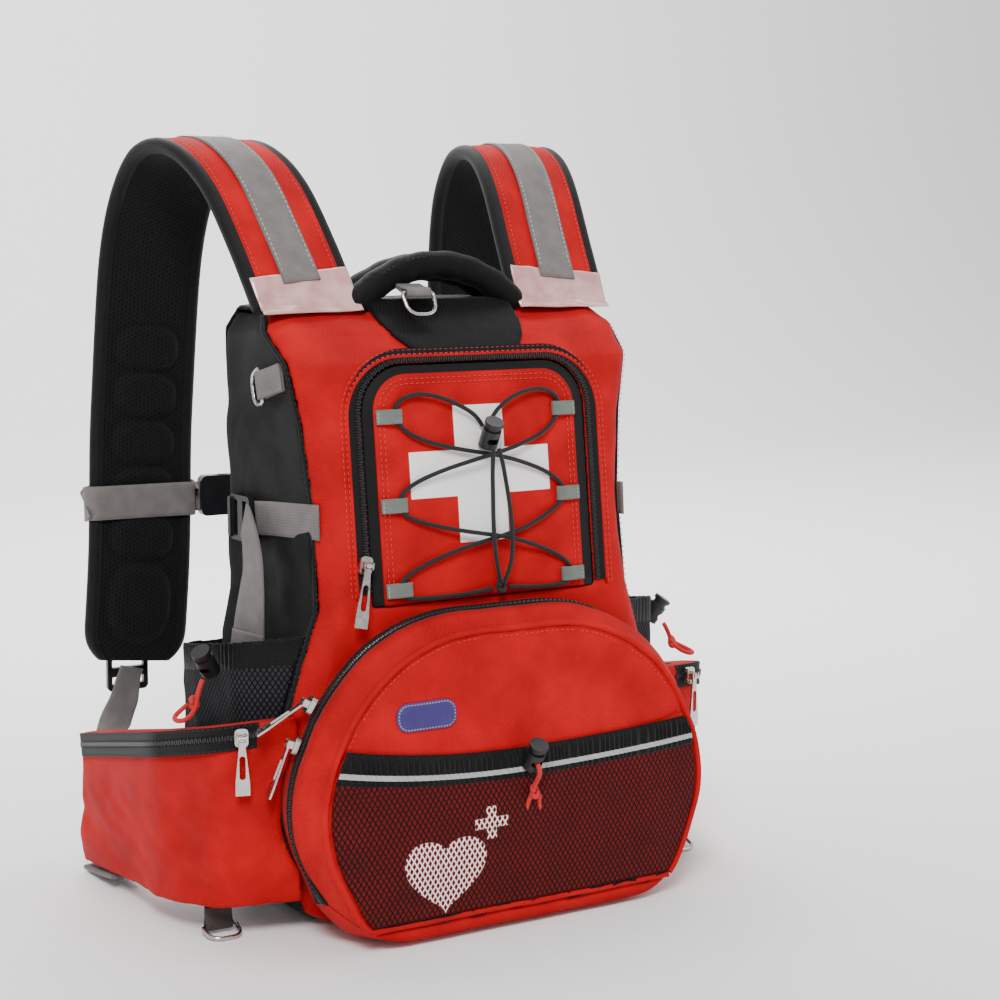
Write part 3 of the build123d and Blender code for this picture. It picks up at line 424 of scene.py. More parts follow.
nickel = cast_nickel()
black_acetal = moulded("satin_black_acetal", "0E0E10", "1C1C1F", 0.38)
coil_nylon = moulded("black_nylon_coil", "0C0C0D", "202022", 0.35)
elastic_cord = twisted("black_braided_elastic", "050506", "18181A", 1.8)
red_cord = twisted("red_polyester_cord", "8A0A0A", "D01A1C", 1.7)
red_thread = twisted("red_sewing_thread", "9A1010", "D8352F", 0.8)
black_thread = twisted("black_sewing_thread", "0C0C0D", "26262A", 0.8)
grey_thread = twisted("pale_sewing_thread", "8C8887", "C9C5C3", 0.8)
gathered_elastic = woven("black_gathered_elastic", "060607", "141416", roughness=0.55, thread=1.9, sheen=0.1)
grey_reflective = moulded("grey_reflective_stripe", "8E928F", "A9ADAA", 0.4)
badge_rubber = moulded("purple_moulded_badge", "291C5A", "382A70", 0.5)
badge_edge = moulded("pale_badge_rim", "3A2E6A", "4C3F80", 0.5)
patch_tape = reflective_tape()
print("materials:", len(bpy.data.materials))

# %% [markdown]
# ## Building cloth pieces
# Three builders make almost every soft piece. A sheet is a grid of points, thickened and closed.
# A tube follows a curve with any cross-section, for straps, rolls and piping. A softened copy
# takes a CAD solid, remeshes it finely, rounds its edges and lets the cloth crease.

# %% Meshes from points
def make_piece(name, verts, faces, finishes, body, stands_for=(), slot=None, uv=None, zones=None,
               smooth=True):
    """A mesh in the frame's own metres, with its finishes, its body and the CAD nodes it stands for."""
    mesh = bpy.data.meshes.new(name)
    mesh.from_pydata([tuple(float(c) for c in v) for v in verts], [], [tuple(f) for f in faces])
    for finish in finishes:
        mesh.materials.append(finish)
    if uv is not None:
        layer = mesh.uv_layers.new(name="cloth")
        index = np.empty(len(mesh.loops), int)
        mesh.loops.foreach_get("vertex_index", index)
        layer.data.foreach_set("uv", np.asarray(uv, float)[index].ravel())
    if zones is not None:
        mesh.polygons.foreach_set("material_index", np.asarray(zones, int))
    if smooth:
        mesh.polygons.foreach_set("use_smooth", [True] * len(mesh.polygons))
    mesh.validate()
    piece = bpy.data.objects.new(name, mesh)
    bpy.context.scene.collection.objects.link(piece)
    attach(piece, body)
    if stands_for:
        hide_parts(*([stands_for] if isinstance(stands_for, str) else stands_for))
    return piece


def lattice(rows, columns, closed=False, start=0):
    """Faces of a grid of points, row after row; closed joins the last column to the first."""
    faces = []
    last = columns if closed else columns - 1
    for r in range(rows - 1):
        for c in range(last):
            n = (c + 1) % columns
            a, b = start + r * columns, start + (r + 1) * columns
            faces.append((a + c, a + n, b + n, b + c))
    return faces


# %% [markdown]
# Webbing, tapes, cords and seams all follow lines. A smooth line is drawn through a few points,
# and a section is carried along it.

# %% Smooth lines through a few points
def distances(line):
    """How far along a line each of its points lies, from its start."""
    return np.concatenate([[0], np.cumsum(np.linalg.norm(np.diff(line, axis=0), axis=1))])


def smooth_line(points, count):
    """count points evenly spaced along a Catmull-Rom curve through the given ones."""
    p = np.array(points, float)
    p = np.vstack([2 * p[0] - p[1], p, 2 * p[-1] - p[-2]])
    dense = []
    for i in range(1, len(p) - 2):
        t = np.linspace(0, 1, 24, endpoint=False)[:, None]
        a, b, c, d = p[i - 1], p[i], p[i + 1], p[i + 2]
        dense.append(0.5 * (2 * b + (c - a) * t + (2 * a - 5 * b + 4 * c - d) * t**2
                            + (3 * b - a - 3 * c + d) * t**3))
    dense = np.vstack(dense + [p[-2:-1]])
    run = distances(dense)
    at = np.linspace(0, run[-1], count)
    return np.stack([np.interp(at, run, dense[:, k]) for k in range(dense.shape[1])], axis=1)


def unit(v):
    v = np.asarray(v, float)
    return v / np.maximum(np.linalg.norm(v, axis=-1, keepdims=True), 1e-12)


def frames_along(line, across):
    """At each point of a line: the way it runs, the way its width lies, and the way it faces."""
    ahead = unit(np.gradient(line, axis=0))
    side = np.broadcast_to(np.asarray(across, float), line.shape)
    side = unit(side - ahead * np.sum(side * ahead, axis=1, keepdims=True))
    return ahead, side, np.cross(side, ahead)


def swept(line, across, section, name, finishes, body, zones=None, caps=True, **more):
    """Sweeps a closed cross-section of (across, off) points along a line.

    section is one outline, or a function of how far along the line it stands, from 0 to 1.
    """
    line = np.asarray(line, float)
    ahead, side, face = frames_along(line, across)
    run = distances(line)
    verts, uv = [], []
    for i, spot in enumerate(line):
        outline = np.asarray(section(run[i] / run[-1]) if callable(section) else section, float)
        verts.append(spot + outline[:, :1] * side[i] + outline[:, 1:] * face[i])
        around = distances(outline)
        uv.append(np.stack([around, np.full(len(outline), run[i])], axis=1))
    sides = len(verts[0])
    faces = lattice(len(line), sides, closed=True)
    marks = [zones[f % sides] for f in range(len(faces))] if zones is not None else None
    if caps:
        faces += [tuple(range(sides))[::-1], tuple(range((len(line) - 1) * sides, len(line) * sides))]
        marks = marks + [marks[0]] * 2 if marks is not None else None
    return make_piece(name, np.vstack(verts), faces, finishes, body, uv=np.vstack(uv), zones=marks, **more)


def flat_section(width, thick, soft=0.35, rows=8):
    """Cross-section of flat webbing in metres: rows of points on each face, with rolled edges."""
    w, t = width * MM / 2, thick * MM / 2
    top = [(x, t) for x in np.linspace(-w + t * soft, w - t * soft, rows)]
    low = [(x, -t) for x in np.linspace(w - t * soft, -w + t * soft, rows)]
    return top + [(w, t * 0.4), (w, -t * 0.4)] + low + [(-w, -t * 0.4), (-w, t * 0.4)]


def round_section(radius, sides=14):
    turn = np.linspace(0, 2 * np.pi, sides, endpoint=False)
    return np.stack([radius * MM * np.cos(turn), radius * MM * np.sin(turn)], axis=1)


# %% [markdown]
# A stitch is a small raised spindle of thread. The rows are spaced to fit their lines exactly.

# %% Stitches
STITCH_FACES = ((0, 1, 2), (0, 2, 3), (1, 4, 5, 2), (2, 5, 6, 3), (4, 7, 5), (5, 7, 6))


def stitches(name, lines, facings, finish, body, long=3.0, gap=1.3, thick=0.75, slot=None):
    """Rows of short raised stitches along lines in metres.

    Facings says which way the cloth under each line faces, as a vector or as a function of place.
    """
    verts, faces = [], []
    for line, facing in zip(lines, facings):
        line = np.asarray(line, float)
        run = distances(line)
        count = max(1, int(run[-1] / ((long + gap) * MM)))
        pitch = run[-1] / count
        for k in range(count):
            ends = [k * pitch, k * pitch + pitch * long / (long + gap)]
            a, b = [np.array([np.interp(e, run, line[:, c]) for c in range(3)]) for e in ends]
            way = unit(b - a)
            out = np.asarray(facing(a) if callable(facing) else facing, float)
            out = unit(out - way * np.dot(out, way))
            side = np.cross(way, out) * thick * MM / 2
            top = out * thick * MM * 0.55
            base = len(verts)
            mid1, mid2 = a + (b - a) * 0.22, a + (b - a) * 0.78
            verts += [a, mid1 + side, mid1 + top, mid1 - side, mid2 + side, mid2 + top, mid2 - side, b]
            faces += [tuple(base + j for j in corners) for corners in STITCH_FACES]
    return make_piece(name, verts, faces, [finish], body, slot=slot)


# %% [markdown]
# Padded cloth starts as a copy of its CAD solid. The copy is remeshed, smoothed, pushed into soft
# creases and lined, so it keeps the solid's size but not its hard faces.

# %% Softened copies of CAD solids
def copy_solid(node, name):
    source = nodes[node]
    piece = bpy.data.objects.new(name, source.data.copy())
    piece.data.materials.clear()
    bpy.context.scene.collection.objects.link(piece)
    return piece


def apply_all(piece):
    """Bakes every modifier of a piece into its mesh."""
    graph = bpy.context.evaluated_depsgraph_get()
    graph.update()
    piece.data = bpy.data.meshes.new_from_object(piece.evaluated_get(graph))
    piece.modifiers.clear()


def coordinates(mesh):
    co = np.empty(len(mesh.vertices) * 3)
    mesh.vertices.foreach_get("co", co)
    return co.reshape(-1, 3)


def place_points(mesh, co):
    mesh.vertices.foreach_set("co", co.ravel())
    mesh.update()


def crease_field(co, size, seed, stretch=(1.0, 1.0, 1.0)):
    """Smooth noise from -1 to 1 at each point: folds about size metres apart."""
    scaled = co / size * np.array(stretch) + seed
    return np.array([noise.fractal(Vector(p), 0.9, 2.1, 3) for p in scaled])


def softened(node, name, finishes, body, voxel=1.6, rounds=6, crease=0.0, size=0.05, seed=1.0,
             centre=None, stretch=(1, 1, 1), quiet=None, shape=None, lining=True):
    """A remeshed and smoothed copy of a CAD solid; its folds move it away from or towards centre."""
    piece = copy_solid(node, name)
    remesh = piece.modifiers.new("remesh", "REMESH")
    remesh.mode, remesh.voxel_size, remesh.use_smooth_shade = "VOXEL", voxel * MM, True
    smooth = piece.modifiers.new("smooth", "SMOOTH")
    smooth.factor, smooth.iterations = 0.5, rounds
    apply_all(piece)
    mesh = piece.data
    co = coordinates(mesh)
    middle = np.array(centre if centre is not None else co.mean(0))
    out = unit(co - middle)
    if crease:
        push = crease_field(co, size, seed, stretch) * crease * MM
        if quiet is not None:
            push *= quiet(co)
        co = co + out * push[:, None]
    if shape is not None:
        co = shape(co)
    place_points(mesh, co)
    for finish in finishes:
        mesh.materials.append(finish)
    if len(finishes) > 1 and lining:
        normal = np.empty(len(mesh.polygons) * 3)
        mesh.polygons.foreach_get("normal", normal)
        spot = np.empty(len(mesh.polygons) * 3)
        mesh.polygons.foreach_get("center", spot)
        inward = np.sum(normal.reshape(-1, 3) * unit(spot.reshape(-1, 3) - middle), axis=1) < -0.15
        mesh.polygons.foreach_set("material_index", inward.astype(int))
    mesh.polygons.foreach_set("use_smooth", [True] * len(mesh.polygons))
    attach(piece, body)
    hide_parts(node)
    print(name, "faces", len(mesh.polygons))
    return piece

# %% [markdown]
# ## The body
# The red front, the black sides, the back, the base and the shelf are sewn panels of cloth over
# thin foam. Their CAD solids have the right cut, openings included, so each is remeshed, softened
# and creased a little. Folds fade out round the flap, where the zip keeps the cloth flat.

# %% Outline of the body at each height, in millimetres
BODY = np.array((
    (0.0, 122.0, 112.0, 126.0), (12.0, 140.0, 117.0, 140.0), (60.0, 158.0, 119.0, 148.0),
    (100.0, 162.0, 121.0, 150.0), (150.0, 154.0, 122.0, 149.0), (195.0, 140.0, 123.0, 147.0),
    (229.0, 128.0, 124.0, 144.0), (300.0, 126.0, 115.5, 140.0), (360.0, 132.0, 108.3, 141.0),
    (402.0, 141.0, 103.2, 142.0), (424.0, 146.0, 76.0, 141.0), (440.0, 132.0, 46.0, 130.0),
))
BODY_BACK = 33.0


def body_side(height, behind_front):
    """The body's side at a height, this far behind its front, as (across, depth)."""
    half_front, front, half_back = [np.interp(height, BODY[:, 0], BODY[:, k]) for k in (1, 2, 3)]
    share = behind_front / (front + BODY_BACK)
    return half_front + (half_back - half_front) * share, behind_front - front


def flat_round_flap(co):
    """0 round the flap's opening, 1 away from it."""
    x, z = np.abs(co[:, 0]) / MM, co[:, 2] / MM
    away = np.maximum(x - 106, np.maximum(228 - z, z - 412))
    front = np.where(co[:, 1] < -0.08, 1.0, 0.0)
    return 1 - front * (1 - np.clip(away / 22, 0.12, 1))


BODY_MIDDLE = (0.0, -0.045, 0.22)
softened("front_panel", "front_panel_cloth", [red_twill, black_lining], "pack", voxel=1.7, rounds=8,
         crease=3.2, size=0.07, centre=BODY_MIDDLE, quiet=flat_round_flap, stretch=(1, 1, 0.6))
for side in ("left", "right"):
    softened(f"side_panel_{side}", f"side_panel_{side}_cloth", [black_twill, black_lining], "pack",
             voxel=1.9, rounds=8, crease=6.0, size=0.085, seed=7.0 if side == "left" else 13.0, centre=BODY_MIDDLE,
             stretch=(1, 0.7, 1))
softened("base_panel", "base_panel_cloth", [black_twill], "pack", voxel=1.9, rounds=5)
softened("bay_shelf", "bay_shelf_cloth", [black_lining], "pack", voxel=1.6, rounds=4)
softened("neck_panel", "neck_panel_cloth", [black_twill], "pack", voxel=1.9, rounds=7, crease=1.0,
         size=0.05, centre=(0, 0, 0.1))

# %% [markdown]
# The back is a thick pad that lies on the wearer. It has sewn grooves between raised cushions, so
# its mesh is pressed in along those lines.

# %% Padded back
BACK_GROOVES_ACROSS = (118, 236, 344)


def back_cushions(co):
    """Presses the grooves between the back's cushions, deepest at the sewn lines."""
    x, z = co[:, 0] / MM, co[:, 2] / MM
    near = np.abs(x) / 5.0
    for height in BACK_GROOVES_ACROSS:
        near = np.minimum(near, np.abs(z - height) / 5.0)
    edge = np.minimum(118 - np.abs(x), np.minimum(z - 22, 418 - z)) / 6.0
    depth = np.exp(-near**2) + np.exp(-np.clip(edge, -3, 3) ** 2)
    rear = np.clip((co[:, 1] / MM - 26) / 5, 0, 1)
    co[:, 1] += rear * (2.5 - 5.5 * np.clip(depth, 0, 1)) * MM
    return co


softened("back_panel", "back_panel_pad", [back_mesh], "pack", voxel=2.2, rounds=6, shape=back_cushions)

# %% [markdown]
# ## The lower pod
# The pod is a red box of padded cloth with a broad arched outline. It is drawn as rings from the
# body to the face; the zip follows a slanting rim, the lid is what lies in front of it, and the
# gusset what lies behind. Both use the same rings, so they meet along the zip.

# %% Rings of the pod
def rounded(points, radii, per_arc=12, per_run=7):
    """A closed outline with rounded corners, always with the same count of points."""
    p, out = np.array(points, float), []
    tangents = []
    for i, corner in enumerate(p):
        before, after = unit(p[i - 1] - corner), unit(p[(i + 1) % len(p)] - corner)
        half = math.acos(float(np.clip(np.dot(before, after), -1, 1))) / 2
        reach = radii[i] / math.tan(half)
        centre = corner + unit(before + after) * radii[i] / math.sin(half)
        tangents.append((corner + before * reach, corner + after * reach, centre, radii[i]))
    for i, (first, last, centre, radius) in enumerate(tangents):
        a, b = unit(first - centre), unit(last - centre)
        turn = math.acos(float(np.clip(np.dot(a, b), -1, 1)))
        for t in np.linspace(0, 1, per_arc, endpoint=False):
            arm = a * math.sin((1 - t) * turn) + b * math.sin(t * turn)
            out.append(centre + radius * arm / math.sin(turn))
        following = tangents[(i + 1) % len(p)][0]
        for t in np.linspace(0, 1, per_run, endpoint=False):
            out.append(last + (following - last) * t)
    return np.array(out)


def pod_outline(half, low, high):
    tall = high - low
    return rounded(
        [(0.80 * half, low), (1.06 * half, low + 0.42 * tall), (0.72 * half, high),
         (-0.72 * half, high), (-1.06 * half, low + 0.42 * tall), (-0.80 * half, low)],
        [0.3 * half, 0.6 * half, 0.8 * half, 0.8 * half, 0.6 * half, 0.3 * half])


def pod_rings(grow=0.0):
    """The pod's outline at its face, at its widest and at the body, in metres."""
    face = np.array([on_lid(x, z) for x, z in pod_outline(155 + grow, -11, 200 + grow)])
    rings = [face]
    for depth, half, high in ((-150, 167, 226), (-106, 158, 227)):
        flat = pod_outline(half + grow, 0, high + grow)
        rings.append(np.stack([flat[:, 0], np.full(len(flat), depth), flat[:, 1]], axis=1) * MM)
    return rings


RIM = np.array(((16, -178.5), (34, -156), (84, -141), (130, -138), (240, -138))) * MM


def pod_point(rings, column, share):
    """A point on the pod: share 0 at the face, 1 at its widest ring, 2 at the body."""
    share = min(max(share, 0.0), 2.0)
    k = min(int(share), 1)
    return rings[k][column] + (rings[k + 1][column] - rings[k][column]) * (share - k)


def rim_share(rings, column, shift=0.0):
    """How far back from the face the zip's rim crosses this column."""
    if rings[0][column][2] < RIM[0, 0]:
        return 0.0
    low, high = 0.0, 2.0
    for _ in range(24):
        middle = (low + high) / 2
        p = pod_point(rings, column, middle)
        ahead = p[1] < np.interp(p[2], RIM[:, 0], RIM[:, 1]) + shift
        low, high = (middle, high) if ahead else (low, middle)
    return (low + high) / 2


POD_MIDDLE = np.array((0.0, -0.12, 0.1))
POD_FOLD = 1.2


def pod_folds(co):
    """The lid and the gusset crease together, so their edges still meet at the zip."""
    away = unit(co - POD_MIDDLE)
    return co + away * (crease_field(co, 0.06, 3.0, (0.8, 1, 1)) * POD_FOLD * MM)[:, None]


def puckers(run, seed, pitch=11.0):
    """Small gathers, from -1 to 1, at each run of seam in metres: uneven, as sewn cloth pulls."""
    at = np.asarray(run) / MM
    drift = np.array([noise.noise(Vector((a / 40, seed, 0.5))) for a in at])
    strength = np.array([0.55 + 0.9 * abs(noise.noise(Vector((a / 55, seed, 7.1)))) for a in at])
    return np.sin(2 * np.pi * (at / pitch + 1.6 * drift)) * strength


rings = pod_rings()
columns = len(rings[0])
HINGE_LINE = 16.5 * MM
above = [c for c in range(columns) if rings[0][c][2] > HINGE_LINE]
first = next(c for c in above if (c - 1) % columns not in above)
above = [(first + k) % columns for k in range(len(above))]
print("pod: columns", columns, "on the lid", len(above))


# %% [markdown]
# Cloth has two faces and a raw edge. Each one-sided surface is thickened inwards, and the lining
# gets a finish of its own, which also covers the edge.

# %% Shell pieces
def shell(name, verts, faces, finishes, body, thick=3.0, **more):
    """A one-sided cloth surface made into a shell: finishes are for outside, lining and edge."""
    piece = make_piece(name, verts, faces, finishes, body, **more)
    solid = piece.modifiers.new("thickness", "SOLIDIFY")
    solid.thickness, solid.offset = thick * MM, -1.0
    solid.material_offset, solid.material_offset_rim = 1, 1
    apply_all(piece)
    return piece


def rim_point_on_face(a, b):
    """Where the face's outline crosses the hinge line, between two columns."""
    p, q = rings[0][a], rings[0][b]
    return p + (q - p) * (HINGE_LINE - p[2]) / (q[2] - p[2])


# %% [markdown]
# The lid's face is crowned by the padding behind it. Piping, a cord wrapped in red cloth, is sewn
# into the seam round the face and throws the thin shadow that shows the face's outline.

# %% The lid
LID_CENTRE = np.array(on_lid(0, 92))
FACE_OUT = unit(on_lid(0, 0, 1) - on_lid(0, 0, 0))
left_end = rim_point_on_face(above[0], (above[0] - 1) % columns)
right_end = rim_point_on_face(above[-1], (above[-1] + 1) % columns)
bottom = [right_end + (left_end - right_end) * t for t in np.linspace(0, 1, 26)]
edge = np.array([rings[0][c] for c in above] + bottom)
DEPTH_ROWS = 9
rows = []
for r in range(DEPTH_ROWS, 0, -1):
    walls = [pod_point(rings, c, rim_share(rings, c, -0.0006) * r / DEPTH_ROWS) for c in above]
    rows.append(np.array(walls + bottom))
FACE_CROWN = 5.0


def crown_height(share):
    """How far the padded face stands off at this share of the way from its middle to its edge."""
    return FACE_CROWN * MM * (1 - share**2.6)


for share in (1.0, 0.985, 0.96, 0.92, 0.87, 0.8, 0.72, 0.63, 0.54, 0.45, 0.36, 0.27, 0.18, 0.09, 0.02):
    rows.append(LID_CENTRE + (edge - LID_CENTRE) * share + FACE_OUT * crown_height(share))
edge_run = distances(edge)
gathers = puckers(edge_run, 4.0)
for row, spots in enumerate(rows):
    inside = row - DEPTH_ROWS
    if inside > 0:
        strength = 1.1 * math.exp(-((inside - 2.5) / 2.2) ** 2)
        way = np.broadcast_to(FACE_OUT, spots.shape)
    else:
        strength = 0.8 * math.exp(-((inside + 2) / 2) ** 2)
        way = unit(spots - POD_MIDDLE)
    rows[row] = spots + way * (gathers * strength * MM)[:, None]
lid_points = pod_folds(np.vstack(rows))
lid_faces = lattice(len(rows), len(edge), closed=True)
lid_faces.append(tuple(range((len(rows) - 1) * len(edge), len(rows) * len(edge))))
lid = shell("lid_cloth", lid_points, lid_faces, [red_twill, black_lining], "lid", thick=3.2,
            stands_for="aed_lid", slot="red_twill")
print("lid faces", len(lid.data.polygons))

# %% [markdown]
# The piping runs along the same edge as the face, and a line of stitches follows it just inside.

# %% Piping round the face
piping_line = pod_folds(np.vstack([edge, edge[:1]]) + FACE_OUT * 0.6 * MM)
swept(piping_line[:-1], FACE_OUT, round_section(2.3, 10), "lid_piping", [red_twill], "lid",
      slot="red_twill", caps=False)


def face_line(inset):
    """A line on the face, this many millimetres inside its edge."""
    spots = []
    for p in edge:
        reach = np.linalg.norm(p - LID_CENTRE)
        share = 1 - inset * MM / reach
        spots.append(LID_CENTRE + (p - LID_CENTRE) * share + FACE_OUT * (crown_height(share) + 0.1 * MM))
    return pod_folds(np.array(spots))


seam = face_line(5.5)
stitches("lid_face_stitches", [seam], [FACE_OUT], red_thread, "lid", slot="red_twill")

# %% [markdown]
# Behind the zip the pod's side wall stays on the pack when the lid opens. Its rows run from the
# zip to the body, and a lip under the hinge closes it.

# %% The gusset behind the zip
rows = []
for r in range(14):
    spots = []
    for c in range(columns):
        start = rim_share(rings, c, 0.0006)
        spots.append(pod_point(rings, c, start + (1.97 - start) * r / 13))
    rows.append(np.array(spots))
gusset_points = pod_folds(np.vstack(rows))
faces = [f[::-1] for f in lattice(len(rows), columns, closed=True)]
sill = len(gusset_points)
below = [c for c in range(columns) if rings[0][c][2] <= HINGE_LINE - 1 * MM]
first = next(c for c in below if (c - 1) % columns not in below)
below = [(first + k) % columns for k in range(len(below))]
lips = []
for c in below:
    p = rings[0][c]
    lips.append(on_lid(p[0] / MM, -0.8))
gusset_points = np.vstack([gusset_points, lips])
for k in range(len(below) - 1):
    faces.append((below[k + 1], sill + k + 1, sill + k, below[k]))
gusset = shell("pod_gusset_cloth", gusset_points, faces, [red_twill, black_lining], "pack",
               stands_for="pod_gusset", slot="red_twill")
print("gusset faces", len(gusset.data.polygons))

# %% [markdown]
# ## Zips
# A coil zip is two nylon coils sewn to woven tapes. Each turn of the coil shows as a small tooth,
# 2 mm from the next, so the teeth are real geometry: the light catches every one of them.

# %% Zip builder
TEETH_APART, TOOTH_HALF, TOOTH_LEAN = 1.9, 0.62, 0.35
TOOTH_ARCH = ((-2.4, -0.2), (-1.6, 1.15), (1.6, 1.15), (2.4, -0.2))
TAPE_SPOTS = 5
TOOTH_FACES = ((0, 2, 3, 1), (2, 4, 5, 3), (4, 6, 7, 5), (0, 1, 7, 6), (0, 6, 4, 2), (1, 3, 5, 7))


def zipper(name, line, side, out, tape, body, stands_for=None, shift=0.0, lift=0.5):
    """A tape of (low, high) millimetres to the side of a line, with a coil of teeth along it."""
    line, side, out = [np.asarray(v, float) for v in (line, side, out)]
    side, out = unit(np.broadcast_to(side, line.shape)), unit(np.broadcast_to(out, line.shape))
    verts, across = [], np.linspace(tape[0], tape[1], TAPE_SPOTS)
    outline = [(a, lift) for a in across] + [(a, lift - 0.9) for a in across[::-1]]
    for p, s, o in zip(line, side, out):
        verts += [p + s * a * MM + o * b * MM for a, b in outline]
    ring = len(outline)
    faces = lattice(len(line), ring, closed=True)
    faces += [tuple(range(ring))[::-1], tuple(range((len(line) - 1) * ring, len(line) * ring))]
    zones = [0] * len(faces)
    run = distances(line)
    for k, at in enumerate(np.arange(1.2, run[-1] / MM - 1.2, TEETH_APART)):
        p, s, o = [np.array([np.interp(at * MM, run, v[:, c]) for c in range(3)])
                   for v in (line, side, out)]
        ahead = np.cross(s, o)
        base, lean = len(verts), (TOOTH_LEAN if k % 2 else -TOOTH_LEAN)
        for across_end, height in TOOTH_ARCH:
            spot = p + s * (shift + across_end + lean) * MM + o * (lift + height) * MM
            verts += [spot + ahead * way * MM for way in (-TOOTH_HALF, TOOTH_HALF)]
        faces += [tuple(base + j for j in corners) for corners in TOOTH_FACES]
        zones += [1] * len(TOOTH_FACES)
    return make_piece(name, verts, faces, [black_binding, coil_nylon], body,
                      stands_for=stands_for or (), slot="black_zip", zones=zones,
                      uv=np.zeros((len(verts), 2)), smooth=False)


# %% [markdown]
# The lid's zip follows the rim of the pod from one end of the hinge line round to the other.

# %% The lid's zip
zip_columns = [c for c in range(columns) if pod_point(rings, c, rim_share(rings, c))[2] > 32 * MM]
first = next(c for c in zip_columns if (c - 1) % columns not in zip_columns)
zip_columns = [(first + k) % columns for k in range(len(zip_columns))]
rim = np.array([pod_point(rings, c, rim_share(rings, c, 0.001)) for c in zip_columns])
behind = np.array([pod_point(rings, c, rim_share(rings, c, 0.008)) for c in zip_columns])
rim_way = unit(behind - rim)
rim_out = unit(np.cross(rim_way, np.gradient(rim, axis=0)))
rim_out *= np.sign(np.sum(rim_out * (rim - POD_MIDDLE), axis=1))[:, None]
zip_line = pod_folds(rim + rim_way * 3.2 * MM)
zipper("lid_zip", zip_line, rim_way, rim_out, (-3.6, 8.4), "pack", stands_for="pod_zip")
print("lid zip length mm", round(float(np.linalg.norm(np.diff(zip_line, axis=0), axis=1).sum()) / MM))

# %% [markdown]
# ## Shoulder straps
# A shoulder strap is foam between two faces: red twill outside, spacer mesh against the wearer,
# and a black tape bound round both edges. Oval foam pads are pressed into the inner face. The
# strap is one tube along the shoulder line, with a zone of its outline for each cloth.

# %% Strap line and outline
STRAP_ROUTE = mm((
    (-106, -52, 436), (-112, -22, 482), (-119, 10, 525), (-126, 42, 549), (-132, 76, 557),
    (-138, 108, 549), (-142, 134, 522), (-146, 150, 480), (-150, 158, 420), (-154, 160, 350),
    (-159, 156, 280), (-165, 150, 215), (-172, 146, 152),
))
strap_line = smooth_line(STRAP_ROUTE, 260)
strap_run = distances(strap_line)
STRAP_LONG = strap_run[-1]
INNER_X = np.linspace(-33, 33, 37)
OUTER_X = np.linspace(33.5, -33.5, 21)
PAD_FIRST, PAD_PITCH = 0.6, 0.0605
sleeve_at = np.argmin(np.abs(strap_line[:, 2] - 0.28) + (strap_line[:, 1] < 0.1))
SLEEVE_SHARE = strap_run[sleeve_at] / STRAP_LONG


def strap_pads(share, x):
    """Height of the foam pads on the strap's inner face, in millimetres.

    The chest strap presses them flat where it goes round.
    """
    nearest = round((share - PAD_FIRST) / PAD_PITCH)
    nearest = min(nearest, 5)
    if nearest < 0:
        return np.zeros_like(x)
    middle, long = (PAD_FIRST + nearest * PAD_PITCH, 17.0) if nearest < 5 else (0.926, 30.0)
    along = (share - middle) * STRAP_LONG / MM / long
    inside = (np.abs(x / 24.0) ** 2.6 + np.abs(along) ** 2.6) ** (1 / 2.6)
    raised = 1 / (1 + np.exp((inside - 1.0) * 16))
    groove = np.exp(-((inside - 1.14) / 0.1) ** 2)
    free = 1 - math.exp(-((share - SLEEVE_SHARE) * STRAP_LONG / MM / 17) ** 4)
    return (4.2 * raised - 1.6 * groove) * free


def strap_outline(share):
    """The strap's outline: inner face, bound edge, outer face, bound edge."""
    tip = max(0.0, (share - 0.95) / 0.05)
    narrow = 1 - 0.3 * tip**3
    thin = 1 - 0.35 * tip**4
    belly = 1 - (np.abs(INNER_X) / 38) ** 4
    inner = np.stack([INNER_X, -(3.4 + 3.0 * belly + strap_pads(share, INNER_X))], axis=1)
    belly = 1 - (np.abs(OUTER_X) / 38) ** 4
    outer = np.stack([OUTER_X, 3.6 + 3.2 * belly], axis=1)
    turn = np.linspace(-np.pi / 2, np.pi / 2, 9)
    right = np.stack([36.4 + 6.2 * np.cos(turn), 6.0 * np.sin(turn)], axis=1)
    left = np.stack([-36.4 - 6.2 * np.cos(turn), -6.0 * np.sin(turn)], axis=1)
    outline = np.vstack([inner, right, outer, left])
    return outline * (narrow, thin) * MM


STRAP_ZONES = [2] * len(INNER_X) + [1] * 9 + [0] * len(OUTER_X) + [1] * 9
STRAP_ZONES[len(INNER_X) - 1] = 1
STRAP_ZONES[len(INNER_X) + 9 + len(OUTER_X) - 1] = 1


def strap_fold(line, seed):
    """The strap is never quite straight: a slow sideways and outward drift of a millimetre or two."""
    drift = np.array([[noise.noise(Vector((p[2] * 9 + seed, 0.3, p[1] * 9))), 0,
                       noise.noise(Vector((p[2] * 9, seed, p[1] * 9)))] for p in line])
    return line + drift * 1.6 * MM


for side, seed in (("left", 2.0), ("right", 9.0)):
    route = strap_fold(strap_line[3:], seed)
    line = route if side == "left" else np.array(mirrored(route))
    strap = swept(line, (1, 0, 0), strap_outline, f"shoulder_strap_{side}_pad",
                  [red_twill, black_binding, air_mesh], "pack", zones=STRAP_ZONES,
                  stands_for=f"shoulder_strap_{side}", slot="black_mesh")
    print(strap.name, "faces", len(strap.data.polygons))

# %% [markdown]
# The strap's own seams, the grey webbing down its middle and the reflective patch over its root
# are laid on the strap by following the same line, a few millimetres off it.

# %% Things laid on the straps
ahead, width_way, face_way = frames_along(strap_line, (1, 0, 0))


def on_strap(share, across, off):
    """A point off the left strap's middle line, in millimetres across and off its outer face."""
    at = share * STRAP_LONG
    p, s, o = [np.array([np.interp(at, strap_run, v[:, c]) for c in range(3)])
               for v in (strap_line, width_way, face_way)]
    return p + s * across * MM + o * off * MM


def both(points, build):
    """Builds the same piece on the left and, mirrored, on the right."""
    build("left", np.array(points))
    build("right", np.array(mirrored(points)))


